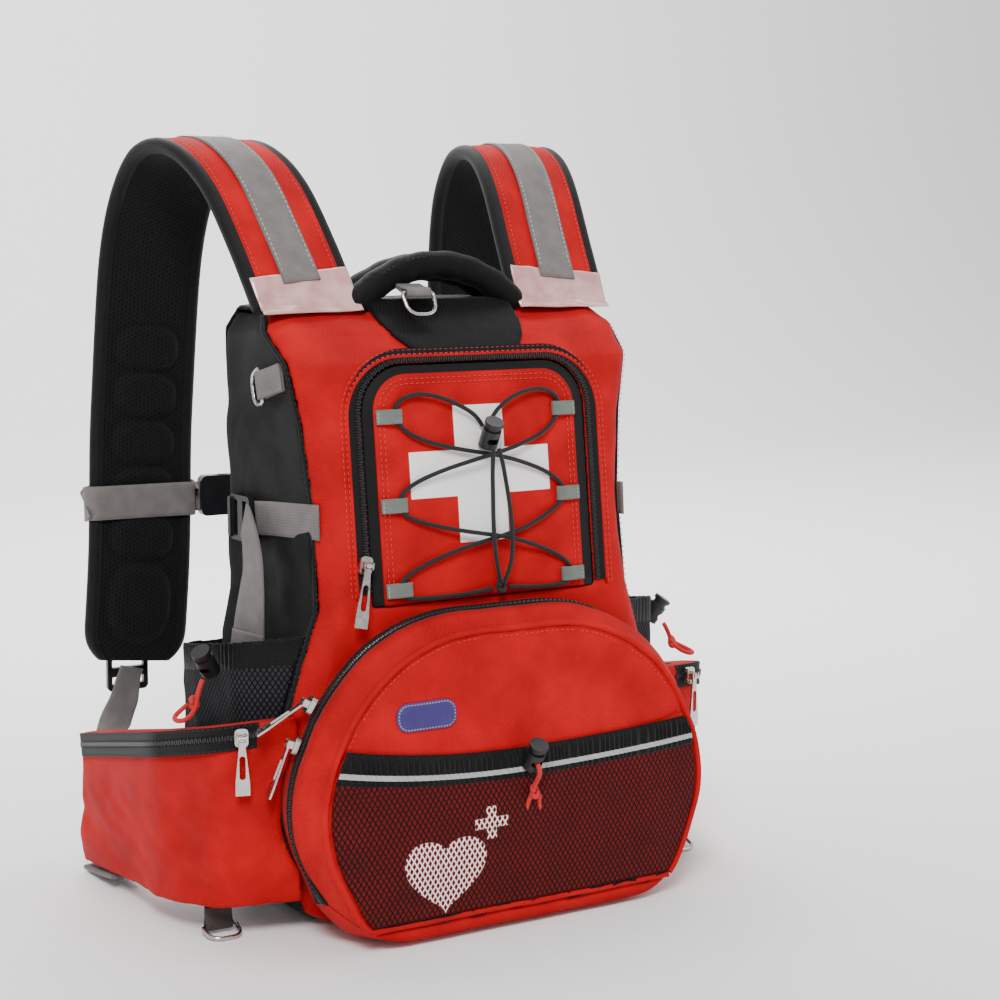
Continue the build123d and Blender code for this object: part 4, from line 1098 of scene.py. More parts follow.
shares = np.linspace(0.034, 0.47, 90)
web_line = [on_strap(s, 0, 7.9 + 0.5 * math.sin(s * 40)) for s in shares]
def grey_strip(name, line, across, wide, thick, **more):
    """A strip of the grey webbing on the pack, laid along a line with its width across it."""
    return swept(line, across, flat_section(wide, thick), name, [grey_webbing], "pack",
                 slot="grey_webbing", **more)


pieces = []
both(web_line, lambda side, line: pieces.append(
    grey_strip(f"strap_webbing_{side}", line, (1, 0, 0), 30, 1.7)))
lower = smooth_line(mm([(-172, 149, 146), (-176, 149, 134), (-180, 146, 122), (-192, 136, 106),
                        (-204, 118, 98), (-210.4, 98, 95)]), 40)
LOWER_TURN = {"left": (0.9, 0.3, 0.3), "right": (0.9, -0.3, -0.3)}
both(lower, lambda side, line: pieces.append(
    grey_strip(f"lower_webbing_{side}", line, LOWER_TURN[side], 25, 1.7)))
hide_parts("strap_webbing")

patch_line = smooth_line([on_strap(s, 0, 7.4) for s in (0.0, 0.016, 0.033, 0.047)], 24)
patch_line[0] += np.array((0, -4, -3)) * MM


def creased_patch(side, line):
    patch = swept(line, (1, 0, 0), flat_section(79, 1.2, rows=26), f"reflective_patch_{side}",
                  [patch_tape], "pack", slot="reflective_patch")
    co = coordinates(patch.data)
    co += crease_field(co, 0.016, 4.0)[:, None] * np.array((0, -0.7, 0.9)) * 0.8 * MM
    place_points(patch.data, co)
    pieces.append(patch)


both(patch_line, creased_patch)
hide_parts("shoulder_patches")
seams = []
for across in (-30.5, 30.5):
    seams.append([on_strap(s, across, 6.1) for s in np.linspace(0.05, 0.93, 150)])
for across in (-12.8, 12.8):
    seams.append([on_strap(s, across, 9.0) for s in np.linspace(0.05, 0.46, 60)])


def facing_out(p):
    """The way the strap's outer face looks at a point."""
    nearest = np.argmin(np.linalg.norm(strap_line - np.array(p) * (-np.sign(p[0]), 1, 1), axis=1))
    return face_way[nearest]


for side, flip in (("left", 1), ("right", -1)):
    for number, line in enumerate(seams):
        thread = red_thread if number < 2 else grey_thread
        stitches(f"strap_{side}_seam_{number}", [np.array(line) * (flip, 1, 1)], [facing_out], thread,
                 "pack", slot="red_twill" if number < 2 else "grey_webbing")
boxes = []
for flip in (1, -1):
    for share in (0.448, 0.464):
        across = [on_strap(share, a, 9.1) for a in np.linspace(-12.5, 12.5, 12)]
        boxes.append(np.array(across) * (flip, 1, 1))
stitches("strap_webbing_ends", boxes, [facing_out] * len(boxes), grey_thread, "pack",
         slot="grey_webbing")
print("straps: pads, webbing, patches and seams")

# %% [markdown]
# ## Chest strap
# A grey strap is sewn as a sleeve round each shoulder strap and closes with a side-release buckle.

# %% Sleeves and chest webbing
CHEST = np.array((-159.0, 156.0, 280.0))


def sleeve(side, sign):
    """Webbing wrapped once round the shoulder strap."""
    loop = rounded([(45.4, 9.4), (-45.4, 9.4), (-45.4, -9.4), (45.4, -9.4)], [9, 9, 9, 9], 8, 6)
    across, back = sign * -CHEST[0] + loop[:, 0], CHEST[1] + loop[:, 1]
    line = np.stack([across, back, np.full(len(loop), CHEST[2])], axis=1) * MM
    wave = 0.9 * MM * np.sin(np.linspace(0, 4 * np.pi, len(line)))
    line[:, 2] += wave
    line = np.vstack([line, line[:2]])
    return grey_strip(f"sternum_sleeve_{side}", line, (0, 0, 1), 27, 1.6,
                      stands_for=f"sternum_strap_{side}")


for side, sign in (("left", -1), ("right", 1)):
    sleeve(side, sign)
span = [(-72.5, 156, 280), (-40, 156.2, 279.2), (20, 157, 277.5), (80, 156.4, 279.3), (114, 156, 280)]
short_span = [(-114, 156, 280), (-111, 156.3, 280), (-106, 156, 280)]
grey_strip("chest_webbing", smooth_line(mm(span), 60), (0, 0, 1), 25, 1.7)
grey_strip("chest_webbing_short", smooth_line(mm(short_span), 8), (0, 0, 1), 24, 1.7)
print("chest strap: two sleeves and two runs of webbing")

# %% [markdown]
# ## Compression straps
# On each side a strap is sewn into the front seam, runs back to a ladder lock, folds through it
# and hangs down with its end folded.

# %% Side straps and tails
side_web = smooth_line(mm([(-127.8, -110, 293), (-131.8, -80, 291), (-135, -50, 289),
                           (-138.6, -27, 287)]), 30)
tail_route = mm([(-145.8, -22, 286), (-149.4, -38, 276), (-152, -50, 258), (-154.5, -54, 240),
                 (-157, -54, 215), (-158, -52, 186)])
tail_turn = [(0, 0.3, -0.95), (-0.05, 0.62, -0.78), (-0.2, 0.88, -0.47), (-0.42, 0.9, 0),
             (-0.55, 0.83, 0.03), (-0.6, 0.8, 0.03)]
tail = smooth_line(tail_route, 50)
tail_across = smooth_line(tail_turn, 50)
strips = []
for side, flip in (("left", 1), ("right", -1)):
    hanging = tail * (flip, 1, 1)
    turned_way = tail_across * (flip, 1, 1)
    end = hanging[-11:] + np.array((-1.4 * flip, -1.0, 0)) * MM
    strips += [
        grey_strip(f"compression_webbing_{side}", side_web * (flip, 1, 1), (0, 0.07, 1), 25, 1.6),
        grey_strip(f"compression_tail_{side}", hanging, turned_way, 30, 1.7),
        grey_strip(f"compression_tail_fold_{side}", end, turned_way[-11:], 30, 1.5)]
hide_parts("compression_straps")
print("side straps:", len(strips), "pieces")


# %% [markdown]
# ## The upper flap
# The flap is red cloth on a black tape, with a printed white cross, laced with elastic cord
# through six webbing loops. Its outline is a rectangle with two round corners at the top.

# %% Flap outlines
FLAP_HALF, FLAP_TALL, FLAP_ROUND = 92.0, 169.0, 34.0


def flap_outline(inset, top=None, low=0.0):
    """The flap's outline drawn in at its sides and its top, in flap millimetres."""
    top = inset if top is None else top
    half, high, turn = FLAP_HALF - inset, FLAP_TALL - top, FLAP_ROUND - (inset + top) / 2
    angle = np.linspace(0, np.pi / 2, 14)
    right = [(half - turn + turn * math.cos(a), high - turn + turn * math.sin(a)) for a in angle]
    left = [(-x, y) for x, y in reversed(right)]
    side = np.linspace(low, high - turn, 22)[:-1]
    across = np.linspace(half - turn, -half + turn, 26)[1:-1]
    base = np.linspace(-half, half, 34)[1:-1]
    return np.array([(half, y) for y in side] + right + [(x, high) for x in across] + left
                    + [(-half, y) for y in reversed(side)] + [(x, low) for x in base])


def stack(rings, name, finishes, body, caps=True, **more):
    """Closed rings joined one to the next, the first and the last closed by a face."""
    count = len(rings[0])
    faces = lattice(len(rings), count, closed=True)
    if caps:
        last = (len(rings) - 1) * count
        faces = faces + [tuple(range(count))[::-1], tuple(range(last, last + count))]
    return make_piece(name, np.vstack(rings), faces, finishes, body, **more)


def flap_ring(inset, off, top=None, low=0.0):
    return np.array([on_flap(x, y, off) for x, y in flap_outline(inset, top, low)])


def crowned(ring, middle, crown):
    """Rings shrinking to the middle, rising to a crown, for a padded face."""
    centre = np.array(middle)
    way = unit(on_flap(0, 0, 1) - on_flap(0, 0, 0))
    return [centre + (ring - centre) * s + way * crown * MM * (1 - s**3) for s in
            (0.97, 0.93, 0.87, 0.8, 0.7, 0.6, 0.48, 0.36, 0.24, 0.12, 0.03)]


# %% [markdown]
# The flap is three layers, each a stack of outlines: the black tape at the back and round the
# edge, the crowned red cloth that carries the cross, and the coated lining inside.

# %% Tape and cloth of the flap
FLAP_OUT = unit(on_flap(0, 0, 1) - on_flap(0, 0, 0))
tape_rings = [flap_ring(0, -3.6), flap_ring(0, -0.6), flap_ring(0.5, -0.1), flap_ring(30, -0.1)]
stack(tape_rings, "flap_tape", [black_binding], "flap", slot="black_zip",
      uv=np.zeros((4 * len(tape_rings[0]), 2)))
cloth_edge = flap_ring(8.5, 0.9, 6.0)
cloth_rings = [flap_ring(8.6, -0.4, 6.1), flap_ring(8.3, 0.4, 5.8), cloth_edge, flap_ring(9.4, 1.5, 6.9)]
cloth_rings += crowned(flap_ring(9.4, 1.5, 6.9), on_flap(0, 84, 1.5), 1.2)
flap_cloth = stack(cloth_rings, "flap_cloth", [cross_twill], "flap", stands_for="first_aid_flap",
                   slot="red_twill")
co = coordinates(flap_cloth.data)
co += (crease_field(co, 0.05, 5.0) * 0.45 * MM)[:, None] * FLAP_OUT
place_points(flap_cloth.data, co)
lining_edge, lining_middle = flap_ring(3, -4.1), on_flap(0, 84, -4.1)
lining_rings = [flap_ring(1.5, -3.7), lining_edge]
lining_rings += [lining_middle + (lining_edge - lining_middle) * s for s in (0.8, 0.5, 0.2, 0.03)]
stack(lining_rings, "flap_lining", [black_lining], "flap", slot="black_fabric")


OPEN_POINTS = 93


def flap_path(inset, off, top=None, low=2.0):
    """An open line up one side of the flap, over the top and down the other."""
    points = flap_outline(inset, top, low)
    return np.array([on_flap(x, y, off) for x, y in points[:OPEN_POINTS]])


seam_one, seam_two = flap_path(12.0, 2.3, 9.5, 3), flap_path(15.5, 2.55, 13.0, 3)
stitches("flap_seams", [seam_one, seam_two], [FLAP_OUT, FLAP_OUT], red_thread, "flap", slot="red_twill")

# %% [markdown]
# The flap's zip is sewn to the pack round the opening, inside a rolled edge with two rows of
# stitches.

# %% The flap's zip, sewn to the body
coil_path = flap_path(-1.8, 0.1, -1.8, 3.0)
path_way = unit(np.gradient(coil_path, axis=0))
zip_side = np.cross(path_way, FLAP_OUT)
middle_of_flap = on_flap(0, 80, 0)
zip_side *= np.sign(np.sum(zip_side * (coil_path - middle_of_flap), axis=1))[:, None]
zipper("flap_zip_coil", coil_path, zip_side, FLAP_OUT, (0.9, 10.5), "pack", stands_for="flap_zip",
       shift=2.2, lift=0.9)
swept(flap_path(-12.4, 0.6, -6.4, 0), FLAP_OUT, round_section(1.3, 8), "flap_frame_edge",
      [red_twill], "pack", slot="red_twill")
frame_seams = [flap_path(-14.0, 1.0, -8.0, 0), flap_path(-17.0, 0.8, -11.0, 0)]
stitches("flap_frame_seams", frame_seams, [FLAP_OUT, FLAP_OUT], red_thread, "pack",
         slot="red_twill")
print("flap: tape, cloth, lining and zip")

# %% [markdown]
# Six short tabs of grey-green webbing are folded over the lacing and sewn down at their outer
# ends. The lacing is one elastic cord for each side, crossing at the middle, and two tails that
# run from the cord lock to the knot at the foot.

# %% Loops
loop_spots = [(sign * x, y) for x, y in ((73.0, 133.0), (73.0, 70.0), (73.0, 10.0)) for sign in (-1, 1)]
for number, (x, y) in enumerate(loop_spots):
    out = 1 if x > 0 else -1
    fold = [(x + out * 9.5, y, 2.2), (x + out * 4, y, 2.4), (x - out * 5, y, 2.2), (x - out * 9.2, y, 3.4),
            (x - out * 10, y, 4.4), (x - out * 8.6, y, 5.6), (x - out * 4, y, 6.0), (x + out * 2, y, 5.2),
            (x + out * 6.5, y, 3.9), (x + out * 9.8, y, 3.3)]
    line = smooth_line([on_flap(*p) for p in fold], 40)
    tab = swept(line, unit(on_flap(0, 1) - on_flap(0, 0)), flat_section(10.5, 1.1), f"lacing_loop_{number}",
                [loop_webbing], "flap", slot="loop_webbing")
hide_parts("flap_loops")
sewn = []
for x, y in loop_spots:
    for step in (5.0, 8.2):
        out = step if x > 0 else -step
        sewn.append([on_flap(x + out, y + end, 4.9 - step * 0.1) for end in (-4.4, 4.4)])
stitches("loop_stitches", sewn, [FLAP_OUT] * len(sewn), grey_thread, "flap", long=1.6, gap=0.7, thick=0.55,
         slot="loop_webbing")

# %% [markdown]
# A cord is a spline with a round section. Each list gives its control points across the flap, up
# it and off it, in millimetres.

# %% Lacing
def cord_curve(name, points, diameter, finish, body):
    """A round cord: a smooth spline that has these points as its control points."""
    data = bpy.data.curves.new(name, "CURVE")
    data.dimensions = "3D"
    spline = data.splines.new("NURBS")
    spline.points.add(len(points) - 1)
    for control, p in zip(spline.points, points):
        control.co = (*[float(c) for c in p], 1.0)
    spline.order_u, spline.use_endpoint_u = 3, True
    spline.resolution_u = 6
    data.bevel_depth, data.bevel_resolution = diameter * MM / 2, 3
    data.use_fill_caps = True
    data.materials.append(finish)
    cord = bpy.data.objects.new(name, data)
    bpy.context.scene.collection.objects.link(cord)
    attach(cord, body)
    return cord


LACE_ONE = (
    (15, 5, 5.5), (34, 3, 4.5), (54, 2.5, 3.2), (68, 3.5, 2.9), (73, 10, 2.9), (69, 19, 3.2),
    (54, 28, 5), (33, 36, 8), (13, 42, 10.5), (-9, 46, 10), (-33, 51, 7.5), (-56, 58, 4),
    (-67, 64, 2.9), (-69.5, 71, 2.9), (-66.5, 78.5, 3), (-55, 86, 4.5), (-35, 93, 8),
    (-12, 98.5, 10.3), (10, 103, 10.5), (31, 108, 8), (52, 115, 5), (65, 125, 3), (69.5, 134, 2.9),
    (67, 143, 3.6), (54, 148.5, 5.5), (36, 147, 7.5), (20, 140, 8), (10, 131, 6.5), (6.4, 123, 4.9),
)
LACE_TWO = (
    (2, 5, 5.5), (-16, 3, 4.5), (-36, 2.4, 3.2), (-55, 2.8, 3), (-68.5, 3.7, 2.9), (-73, 10, 2.9),
    (-69, 19, 3.2), (-52, 27, 5), (-30, 34, 6), (-8, 39, 6.6), (14, 43, 6.6), (35, 48, 6),
    (55, 57, 4.2), (66.5, 64, 2.9), (69.5, 71, 2.9), (66.5, 78.5, 3), (54, 87, 4.5), (34, 95, 6),
    (11, 101.5, 6.8), (-11, 105.5, 6.6), (-32, 110, 6), (-53, 117, 4.5), (-65, 126, 3),
    (-69.5, 134.5, 2.9), (-66.5, 143.5, 3.6), (-53, 149, 5.5), (-34, 146, 7), (-16, 138, 7.5),
    (-3, 130, 6.5), (1.6, 123, 4.9),
)
TAIL_ONE = (
    (1.6, 106, 18), (0.8, 99, 18.6), (0.5, 88, 17), (1, 72, 15), (0.2, 52, 14.4), (0.8, 32, 14),
    (3.4, 18, 12), (7, 9, 9),
)
TAIL_TWO = (
    (6.4, 106, 18), (8, 99, 18.6), (10.6, 88, 17), (14, 71, 15), (16, 51, 14.4), (15.6, 32, 13.8),
    (13.2, 18, 12), (9.6, 9, 9),
)
for number, route in enumerate((LACE_ONE, LACE_TWO, TAIL_ONE, TAIL_TWO)):
    spots = [on_flap(x, y, off + 1.0) for x, y, off in route]
    cord_curve(f"lacing_{number}", spots, 3.2, elastic_cord, "flap")
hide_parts("flap_bungee")


def knot(name, middle, finish, body, size):
    """An overhand knot: a short fat cord wound one and a half times round."""
    turn = np.linspace(0, 3.2 * np.pi, 26)
    middle = np.array(middle)
    points = [middle + size * MM * np.array((0.62 * math.cos(t), 0.5 * math.sin(t + 0.6),
                                             0.62 * math.sin(t) + 0.12 * (t - 5))) for t in turn]
    return cord_curve(name, points, size * 0.85, finish, body)


knot("lacing_knot", on_flap(8.4, 5.6, 7.2), elastic_cord, "flap", 4.4)


# %% [markdown]
# ## Mesh pocket on the lid
# A net bag covers the lower half of the lid. Its mouth is gathered elastic: the band is full of
# small vertical gathers, and a grey reflective stripe is woven into it.

# %% Net
MOUTH = 104


def mouth_height(x):
    """Height of the pocket's mouth up the lid at this distance across, in millimetres."""
    return MOUTH + (14 if x < 0 else 4) * (x / 150) ** 2


def lid_spot(x, y, off):
    """A point off the lid's padded face: over the crown near the middle, lower near the edge."""
    at = np.array(on_lid(x, y))
    toward = at - LID_CENTRE
    angle = np.arctan2(toward[2], toward[0])
    reach = np.interp(angle, EDGE_ANGLE, EDGE_REACH)
    share = min(np.linalg.norm(toward) / reach, 1.0)
    return at + FACE_OUT * (crown_height(share) + off * MM)


edge_way = edge - LID_CENTRE
order = np.argsort(np.arctan2(edge_way[:, 2], edge_way[:, 0]))
EDGE_ANGLE = np.arctan2(edge_way[:, 2], edge_way[:, 0])[order]
EDGE_REACH = np.linalg.norm(edge_way, axis=1)[order]
EDGE_ANGLE = np.concatenate([EDGE_ANGLE[-1:] - 2 * np.pi, EDGE_ANGLE, EDGE_ANGLE[:1] + 2 * np.pi])
EDGE_REACH = np.concatenate([EDGE_REACH[-1:], EDGE_REACH, EDGE_REACH[:1]])


def half_width(y):
    """Half the face's width at a height up the lid, in millimetres, just inside the piping."""
    x = edge[:, 0] / MM
    up = np.array([(p - np.array(on_lid(0, 0))) @ LID_UP for p in edge]) / MM
    right = x > 0
    order = np.argsort(up[right])
    return float(np.interp(y, up[right][order], x[right][order])) - 4.5


net_rows = []
ROWS, ACROSS = 46, 110
for r in range(ROWS):
    row = []
    for c in range(ACROSS):
        s = -1 + 2 * c / (ACROSS - 1)
        low, top = 3.0, mouth_height(s * half_width(MOUTH))
        y = low + (top - low) * r / (ROWS - 1)
        x = s * half_width(y)
        loose = math.sin(math.pi * r / (ROWS - 1)) * (1 - s**6)
        ruck = 0.5 + 0.5 * noise.noise(Vector((x / 26, y / 34, 3.3)))
        row.append(lid_spot(x, y, 1.7 + 1.6 * loose * ruck))
    net_rows.append(row)
net_points = pod_folds(np.vstack([np.array(r) for r in net_rows]))
net = make_piece("lid_net_pocket", net_points, lattice(ROWS, ACROSS), [lid_net], "lid",
                 stands_for="mesh_pocket", slot="black_mesh")


def thicken(piece, thick, offset):
    """Gives a one-sided surface a thickness in millimetres."""
    solid = piece.modifiers.new("thickness", "SOLIDIFY")
    solid.thickness, solid.offset = thick * MM, offset
    apply_all(piece)


thicken(net, 0.8, 0.0)
print("mesh pocket faces", len(net.data.polygons))

# %% [markdown]
# Elastic in the hem pulls the band into gathers a few millimetres apart. They are uneven, and the
# woven stripe holds them flatter.

# %% Gathered mouth
band_rows = []
BAND_ROWS, BAND_ACROSS = 25, 560
for r in range(BAND_ROWS):
    up = -11 + 22 * r / (BAND_ROWS - 1)
    row = []
    for c in range(BAND_ACROSS):
        s = -1 + 2 * c / (BAND_ACROSS - 1)
        y = mouth_height(s * (half_width(MOUTH) + 0.8)) + up
        x = s * (half_width(y) + 0.8)
        phase = x / 4.6 + 1.4 * noise.noise(Vector((x / 17, 0.2, 0.7)))
        gather = 0.5 + 0.5 * math.sin(2 * math.pi * phase)
        channel = 1 - abs(up / 11) ** 4
        deep = 1.0 - 0.55 * math.exp(-((up + 4.5) / 3.2) ** 2)
        row.append(lid_spot(x, y, 2.2 + 1.2 * channel + 1.5 * gather * deep * channel))
    band_rows.append(row)
band_points = pod_folds(np.vstack([np.array(r) for r in band_rows]))
stripe_low, stripe_high = 5, 9
band_zones = [1 if stripe_low <= f // (BAND_ACROSS - 1) < stripe_high else 0
              for f in range((BAND_ROWS - 1) * (BAND_ACROSS - 1))]
mouth = make_piece("lid_pocket_mouth", band_points, lattice(BAND_ROWS, BAND_ACROSS),
                   [gathered_elastic, grey_reflective], "lid", slot="black_fabric", zones=band_zones)
thicken(mouth, 1.0, -1.0)
print("mouth faces", len(mouth.data.polygons))

# %% [markdown]
# The badge is a moulded rubber patch with a lighter rim, stitched on above the net. It is plain.

# %% Badge
BADGE_ACROSS, BADGE_UP = -76, 146


def badge_ring(grow, off):
    outline = rounded([(23 + grow, -10 - grow), (23 + grow, 10 + grow), (-23 - grow, 10 + grow),
                       (-23 - grow, -10 - grow)], [8.5 + grow] * 4, 8, 4)
    return pod_folds(np.array([lid_spot(BADGE_ACROSS + x, BADGE_UP + y, off)
                               for x, y in outline]))


centre = pod_folds(np.array([lid_spot(BADGE_ACROSS, BADGE_UP, 2.1)]))[0]
badge_rings = [badge_ring(0, -0.4), badge_ring(0, 1.0), badge_ring(-0.6, 1.6), badge_ring(-2.2, 1.6),
               badge_ring(-2.8, 2.1)]
badge_rings += [centre + (badge_ring(-2.8, 2.1) - centre) * s for s in (0.7, 0.4, 0.1)]
badge_zones = [1] * (3 * len(badge_rings[0])) + [0] * (4 * len(badge_rings[0])) + [0, 0]
stack(badge_rings, "lid_badge_patch", [badge_rubber, badge_edge], "lid", stands_for="lid_badge",
      slot="purple_badge", zones=badge_zones)
rim_loop = badge_ring(-1.4, 1.7)
stitches("badge_stitches", [np.vstack([rim_loop, rim_loop[:1]])], [FACE_OUT], grey_thread, "lid", long=1.0,
         gap=1.3, thick=0.8, slot="purple_badge")
print("badge done")

# %% [markdown]
# ## Red pull cords
# Each drawcord comes out of its cord lock as a red cord, ends in a knot and hangs as a loop.
# The lid's cord is free to swing.

# %% Red cords
LID_STEM = [(3, 105.2, 16.4), (3, 101.3, 21.6), (3.5, 95, 20), (3.5, 89, 14), (4, 83.5, 10)]
LID_LOOP = [(3, 80, 9), (0.5, 75, 7.5), (-0.5, 68, 6), (2.5, 62.5, 5), (7.5, 62, 5), (11, 67, 6),
            (9.5, 74.5, 7.6), (9.2, 79.2, 9.6)]
lid_cord = cord_curve("lid_cord_run", [on_lid(*p) for p in LID_STEM + LID_LOOP], 3.5, red_cord,
                      "lid")
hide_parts("lid_cord")
lid_knot = knot("lid_cord_knot", on_lid(5.2, 81.5, 9.8), red_cord, "lid", 4.3)
POCKET_STEM = [(-198.6, -66, 181), (-201.5, -67, 175.5), (-203.6, -67.8, 170), (-205, -68.8, 165)]
POCKET_LOOP = [(-207.5, -71.5, 161.5), (-212, -75, 158), (-218, -77, 156), (-222.6, -74, 156),
               (-221.8, -69, 157.5), (-216.5, -66, 160.5), (-210, -64.6, 164)]
for side, flip in (("left", 1), ("right", -1)):
    spots = [np.array(p) * (flip, 1, 1) * MM for p in POCKET_STEM + POCKET_LOOP]
    cord = cord_curve(f"pocket_cord_{side}", spots, 3.5, red_cord, "pack")
    if side == "left":
        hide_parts("pocket_cords")
    pocket_knot = knot(f"pocket_knot_{side}", np.array((-206.0, -67.6, 164.8)) * (flip, 1, 1) * MM, red_cord,
                       "pack", 4.3)
print("red cords done")

# %% [markdown]
# ## Hip wings
# The wings are padded panels that wrap round the pod's cheeks, red outside and mesh inside. A
# black band with a coil zip runs along the top of each, and its pocket lies behind it.

# %% Wings
WING_TOP_FRONT, WING_TOP_BACK = 178.0, 88.0


def wing_edge_height(y):
    """Height of the wing's top edge at this depth, in millimetres."""
    return WING_TOP_FRONT + (WING_TOP_BACK - WING_TOP_FRONT) * (y + 200) / 400


def wing_folds(co):
    """Creases the wing below its top edge: no folds within 22 mm of the edge, full folds from 52 mm below it."""
    y, z = co[:, 1] / MM, co[:, 2] / MM
    low = np.clip((wing_edge_height(y) - 22 - z) / 30, 0, 1)
    folds = crease_field(co, 0.05, 21.0, (1, 0.55, 1.2)) * 4.2 * low
    out = unit(co * (1, 0.55, 0) + 1e-9)
    return co + out * folds[:, None] * MM


for side in ("left", "right"):
    wing = softened(f"hip_wing_{side}", f"hip_wing_{side}_pad", [red_twill, back_mesh], "pack",
                    voxel=2.2, rounds=7, shape=wing_folds, centre=(0, -0.02, 0.1))

WING_FRONT = [(-176, -111.6), (-190, -108.2), (-206, -102), (-216.5, -84), (-225, -62),
              (-229.4, -46), (-230.2, -10), (-231, 40), (-231.8, 98)]
wing_plan = smooth_line([(*p, 0) for p in WING_FRONT], 120)[:, :2]
wing_line = np.array([(x, y, wing_edge_height(y) - 9.0) for x, y in wing_plan]) * MM
away = np.gradient(wing_line, axis=0)
wing_out = unit(np.stack([away[:, 1], -away[:, 0], np.zeros(len(away))], axis=1))
wing_out *= np.sign(np.sum(wing_out * wing_line, axis=1))[:, None]
wing_up = unit(np.cross(away, wing_out))
wing_up *= np.sign(wing_up[:, 2])[:, None]
for side, flip in (("left", 1), ("right", -1)):
    turn = (flip, 1, 1)
    zipper(f"hip_zip_{side}", (wing_line + wing_out * 0.9 * MM) * turn, wing_up * turn, wing_out * turn,
           (-9.5, 8.5), "pack", stands_for="hip_zips" if side == "left" else None, lift=0.9)
    stitches(f"hip_zip_seam_{side}", [(wing_line + wing_out * 1.9 * MM - wing_up * 8.2 * MM) * turn,
                                     (wing_line + wing_out * 1.9 * MM + wing_up * 7.2 * MM) * turn],
             [lambda p: unit(np.array(p) * (1, 0.6, 0))] * 2, black_thread, "pack", slot="black_zip")
print("wings done")

# %% [markdown]
# ## Bottle pockets
# Stretch net pockets stand on each side, with a gathered black hem closed by a drawcord.

# %% Bottle pockets
HEM_DEEP = 20


def hem_height(y):
    """Height of the pocket's hem at this depth, in millimetres."""
    return 230 - 0.18 * (y + 200)


def pocket_gathers(co):
    """Gathers the hem and lets the net sag below it."""
    y, z = co[:, 1] / MM, co[:, 2] / MM
    hem = hem_height(y)
    near = np.clip((z - hem + 26) / 22, 0, 1)
    run = y + 0.7 * (np.abs(co[:, 0]) / MM)
    gather = np.sin(run * 1.25 + 2 * np.sin(run * 0.16)) * near * 0.8
    sag = crease_field(co, 0.055, 33.0) * 1.8 * np.clip((hem - z) / 30, 0, 1)
    out = unit(co * (1, 0.4, 0) + 1e-9)
    return co + out * (gather + sag)[:, None] * MM


for side in ("left", "right"):
    pocket = softened(f"bottle_pocket_{side}", f"bottle_pocket_{side}_net",
                      [side_net, gathered_elastic], "pack", voxel=1.5, rounds=5,
                      shape=pocket_gathers, lining=False)
    spot = np.empty(len(pocket.data.polygons) * 3)
    pocket.data.polygons.foreach_get("center", spot)
    spot = spot.reshape(-1, 3) / MM
    hemmed = spot[:, 2] > hem_height(spot[:, 1]) - HEM_DEEP
    pocket.data.polygons.foreach_set("material_index", hemmed.astype(int))
print("bottle pockets done")

# %% [markdown]
# ## Carry handle, ring tabs and the strap inside the upper bay

# %% Handle
for number, (depth, crest) in enumerate(((-47.0, 479.0), (-27.0, 477.0))):
    a, b, c = np.array((-66, depth, 442.0)), np.array((0, depth, crest - 9.5)), np.array((66, depth, 442.0))
    rise = b[2] - a[2]
    radius = (66**2 + rise**2) / (2 * rise)
    middle = np.array((0, depth, b[2] - radius))
    reach = math.asin(66 / radius)
    turn = np.linspace(-reach * 1.04, reach * 1.04, 90)
    arch = np.stack([radius * np.sin(turn), np.full(90, depth), middle[2] + radius * np.cos(turn)], axis=1)

    def roll_outline(share, number=number):
        """The rolled cloth of the handle swells and tightens a little along its length."""
        swell = 1 + 0.03 * math.sin(share * 47 + number) + 0.02 * math.sin(share * 23)
        return round_section(10.8 * swell, 26) * (1, 0.97)

    roll = swept(arch * MM, (0, 1, 0), roll_outline, f"handle_roll_{number}", [black_twill], "pack",
                 slot="black_fabric")
    if number == 0:
        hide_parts("carry_handle")
    lift = arch.copy()
    lift[:, 2] += 7.4
    lift[:, 1] += 8.1 * (1 if number else -1)
    stitches(f"handle_seam_{number}", [lift * MM], [(0, 0.7 if number else -0.7, 0.7)], black_thread, "pack",
             slot="black_fabric")

# %% [markdown]
# Each D-ring hangs in a folded tab: the webbing runs to the ring's straight bar, round it and
# back to the seam it is sewn into.

# %% Ring tabs
RING_SEATS = {
    "side": ((-146.0, -56.0, 386.0), (0, 0.28, 0.96), (0.17, -0.95, 0.28), 27.0),
    "base": ((-197.0, -82.0, 6.0), (1, 0, 0), (0, 0, 1), 14.5),
    "top": ((-27.0, -70.0, 450.0), (1, 0, 0), (0, 0.96, 0.28), 16.0),
}


def folded_tab(name, middle, bar, run, long, finish, slot, flip=1, stands_for=None):
    """A strip that runs to the ring's bar, round it and back."""
    middle, bar, run = [np.array(v, float) * (flip, 1, 1) for v in (middle, bar, run)]
    bar, run = unit(bar), unit(run)
    out = np.cross(bar, run)
    turn = np.linspace(np.pi / 2, 3 * np.pi / 2, 13)
    bend = [middle + 2.75 * (math.cos(t) * run + math.sin(t) * out) for t in turn]
    leg = ((long, 0.95), (long * 0.5, 1.2), (4, 2.0))
    line = [middle + run * far + out * off for far, off in leg] + bend
    line += [middle + run * far - out * off for far, off in leg[::-1]]
    return swept(smooth_line(np.array(line) * MM, 60), bar, flat_section(20, 1.7), name, [finish],
                 "pack", slot=slot, stands_for=stands_for or ())


